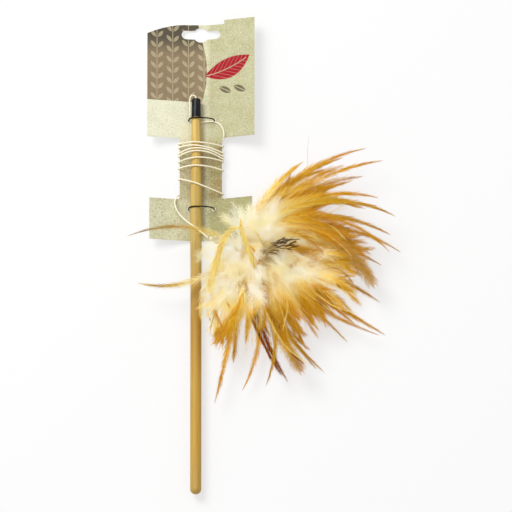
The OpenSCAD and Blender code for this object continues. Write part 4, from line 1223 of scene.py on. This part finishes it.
def singleShafts():
    rng = np.random.default_rng(loose["seed"])
    lines = [(smooth(route, loose["step"]), width, dye) for route, width, dye in single.values()]
    lines += [(overFan(pixels), width, dye) for pixels, width, dye in curls]
    return [shaft(line, dye, width, plumeStations, rng, quill=loose["quill"], sway=loose["sway"],
                  lean=loose["lean"]) for line, width, dye in lines]


def darkShafts():
    rng = np.random.default_rng(darkBarb["seed"])
    shafts = []
    for _ in range(darkBarb["count"]):
        x, y, z = (rng.uniform(*darkBarb[k]) for k in "xyz")
        root = [x, y + (x - darkBarb["x"][0]) * darkBarb["climb"], z]
        turn, length, bow = (rng.uniform(*darkBarb[k]) for k in ("turn", "length", "bow"))
        shafts.append(shaft(plumeLine(root, turn, length, bow, darkBarb["rise"]), "dark", darkBarb["width"],
                            plumeStations, rng, quill=darkBarb["quill"], sway=loose["sway"],
                            lean=darkBarb["lean"]))
    return shafts


growParts("singles", singleShafts(), 1,
          barbs(vane | {"Tip Lean": loose["tipLean"]}, loose["spacing"], loose["barbWidth"], Segments=3),
          featherBarb)
growParts("darkBarbs", darkShafts(), 1,
          barbs(vane, loose["spacing"], darkBarb["barbWidth"], Segments=2), featherBarb)
print("feathers grown")


# Floor, light and background. What is seen directly or mirrored is a white world and a partly white floor
stage = {"white": (1, 1, 1, 1), "floor": (0.92, 0.92, 0.92, 1), "half": 6.0, "glow": 0.62, "world": 0.56,
         "key": 42.0, "keySize": 1.4, "keyAt": (-1.1, 1.3, 1.9), "keyAim": (0.05, 0.2, 0)}


def seenDirectly(w):
    rays = [w.node("ShaderNodeLightPath", None, None, ray)
            for ray in ("Is Camera Ray", "Is Glossy Ray", "Is Transmission Ray")]
    return rays[0].larger(rays[1]).larger(rays[2])


def makeStage():
    low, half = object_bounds()[0][2], stage["half"]
    corners = [(-half, -half, low), (half, -half, low), (half, half, low), (-half, half, low)]
    mesh = bpy.data.meshes.new("floor")
    mesh.from_pydata(corners, [], [(0, 1, 2, 3)])
    placed("floor", mesh)
    material = bpy.data.materials.new("paper")
    material.use_nodes = True
    tree = material.node_tree
    tree.nodes.remove(tree.nodes["Principled BSDF"])
    w = Wire(tree)
    matte = w.node("ShaderNodeBsdfDiffuse", None, {"Color": stage["floor"]})
    glow = w.node("ShaderNodeEmission", None, {"Color": stage["white"], "Strength": 1.0})
    both = w.node("ShaderNodeMixShader", None, {0: seenDirectly(w) * stage["glow"], 1: matte, 2: glow})
    tree.links.new(both.socket, tree.nodes["Material Output"].inputs["Surface"])
    mesh.materials.append(material)

    world = bpy.data.worlds.new("studio")
    world.use_nodes = True
    bpy.context.scene.world = world
    ground = world.node_tree.nodes["Background"]
    ground.inputs["Color"].default_value = stage["white"]
    strength = seenDirectly(Wire(world.node_tree)) * (1 - stage["world"]) + stage["world"]
    world.node_tree.links.new(strength.socket, ground.inputs["Strength"])

    lamp = bpy.data.lights.new("key", "AREA")
    lamp.shape = "DISK"
    lamp.size = stage["keySize"]
    lamp.energy = stage["key"]
    key = placed("key", lamp)
    key.location = stage["keyAt"]
    aim = Vector(stage["keyAim"]) - key.location
    key.rotation_euler = aim.to_track_quat("-Z", "Y").to_euler()
    bpy.context.scene.view_settings.view_transform = "Standard"


makeStage()
print("stage made")
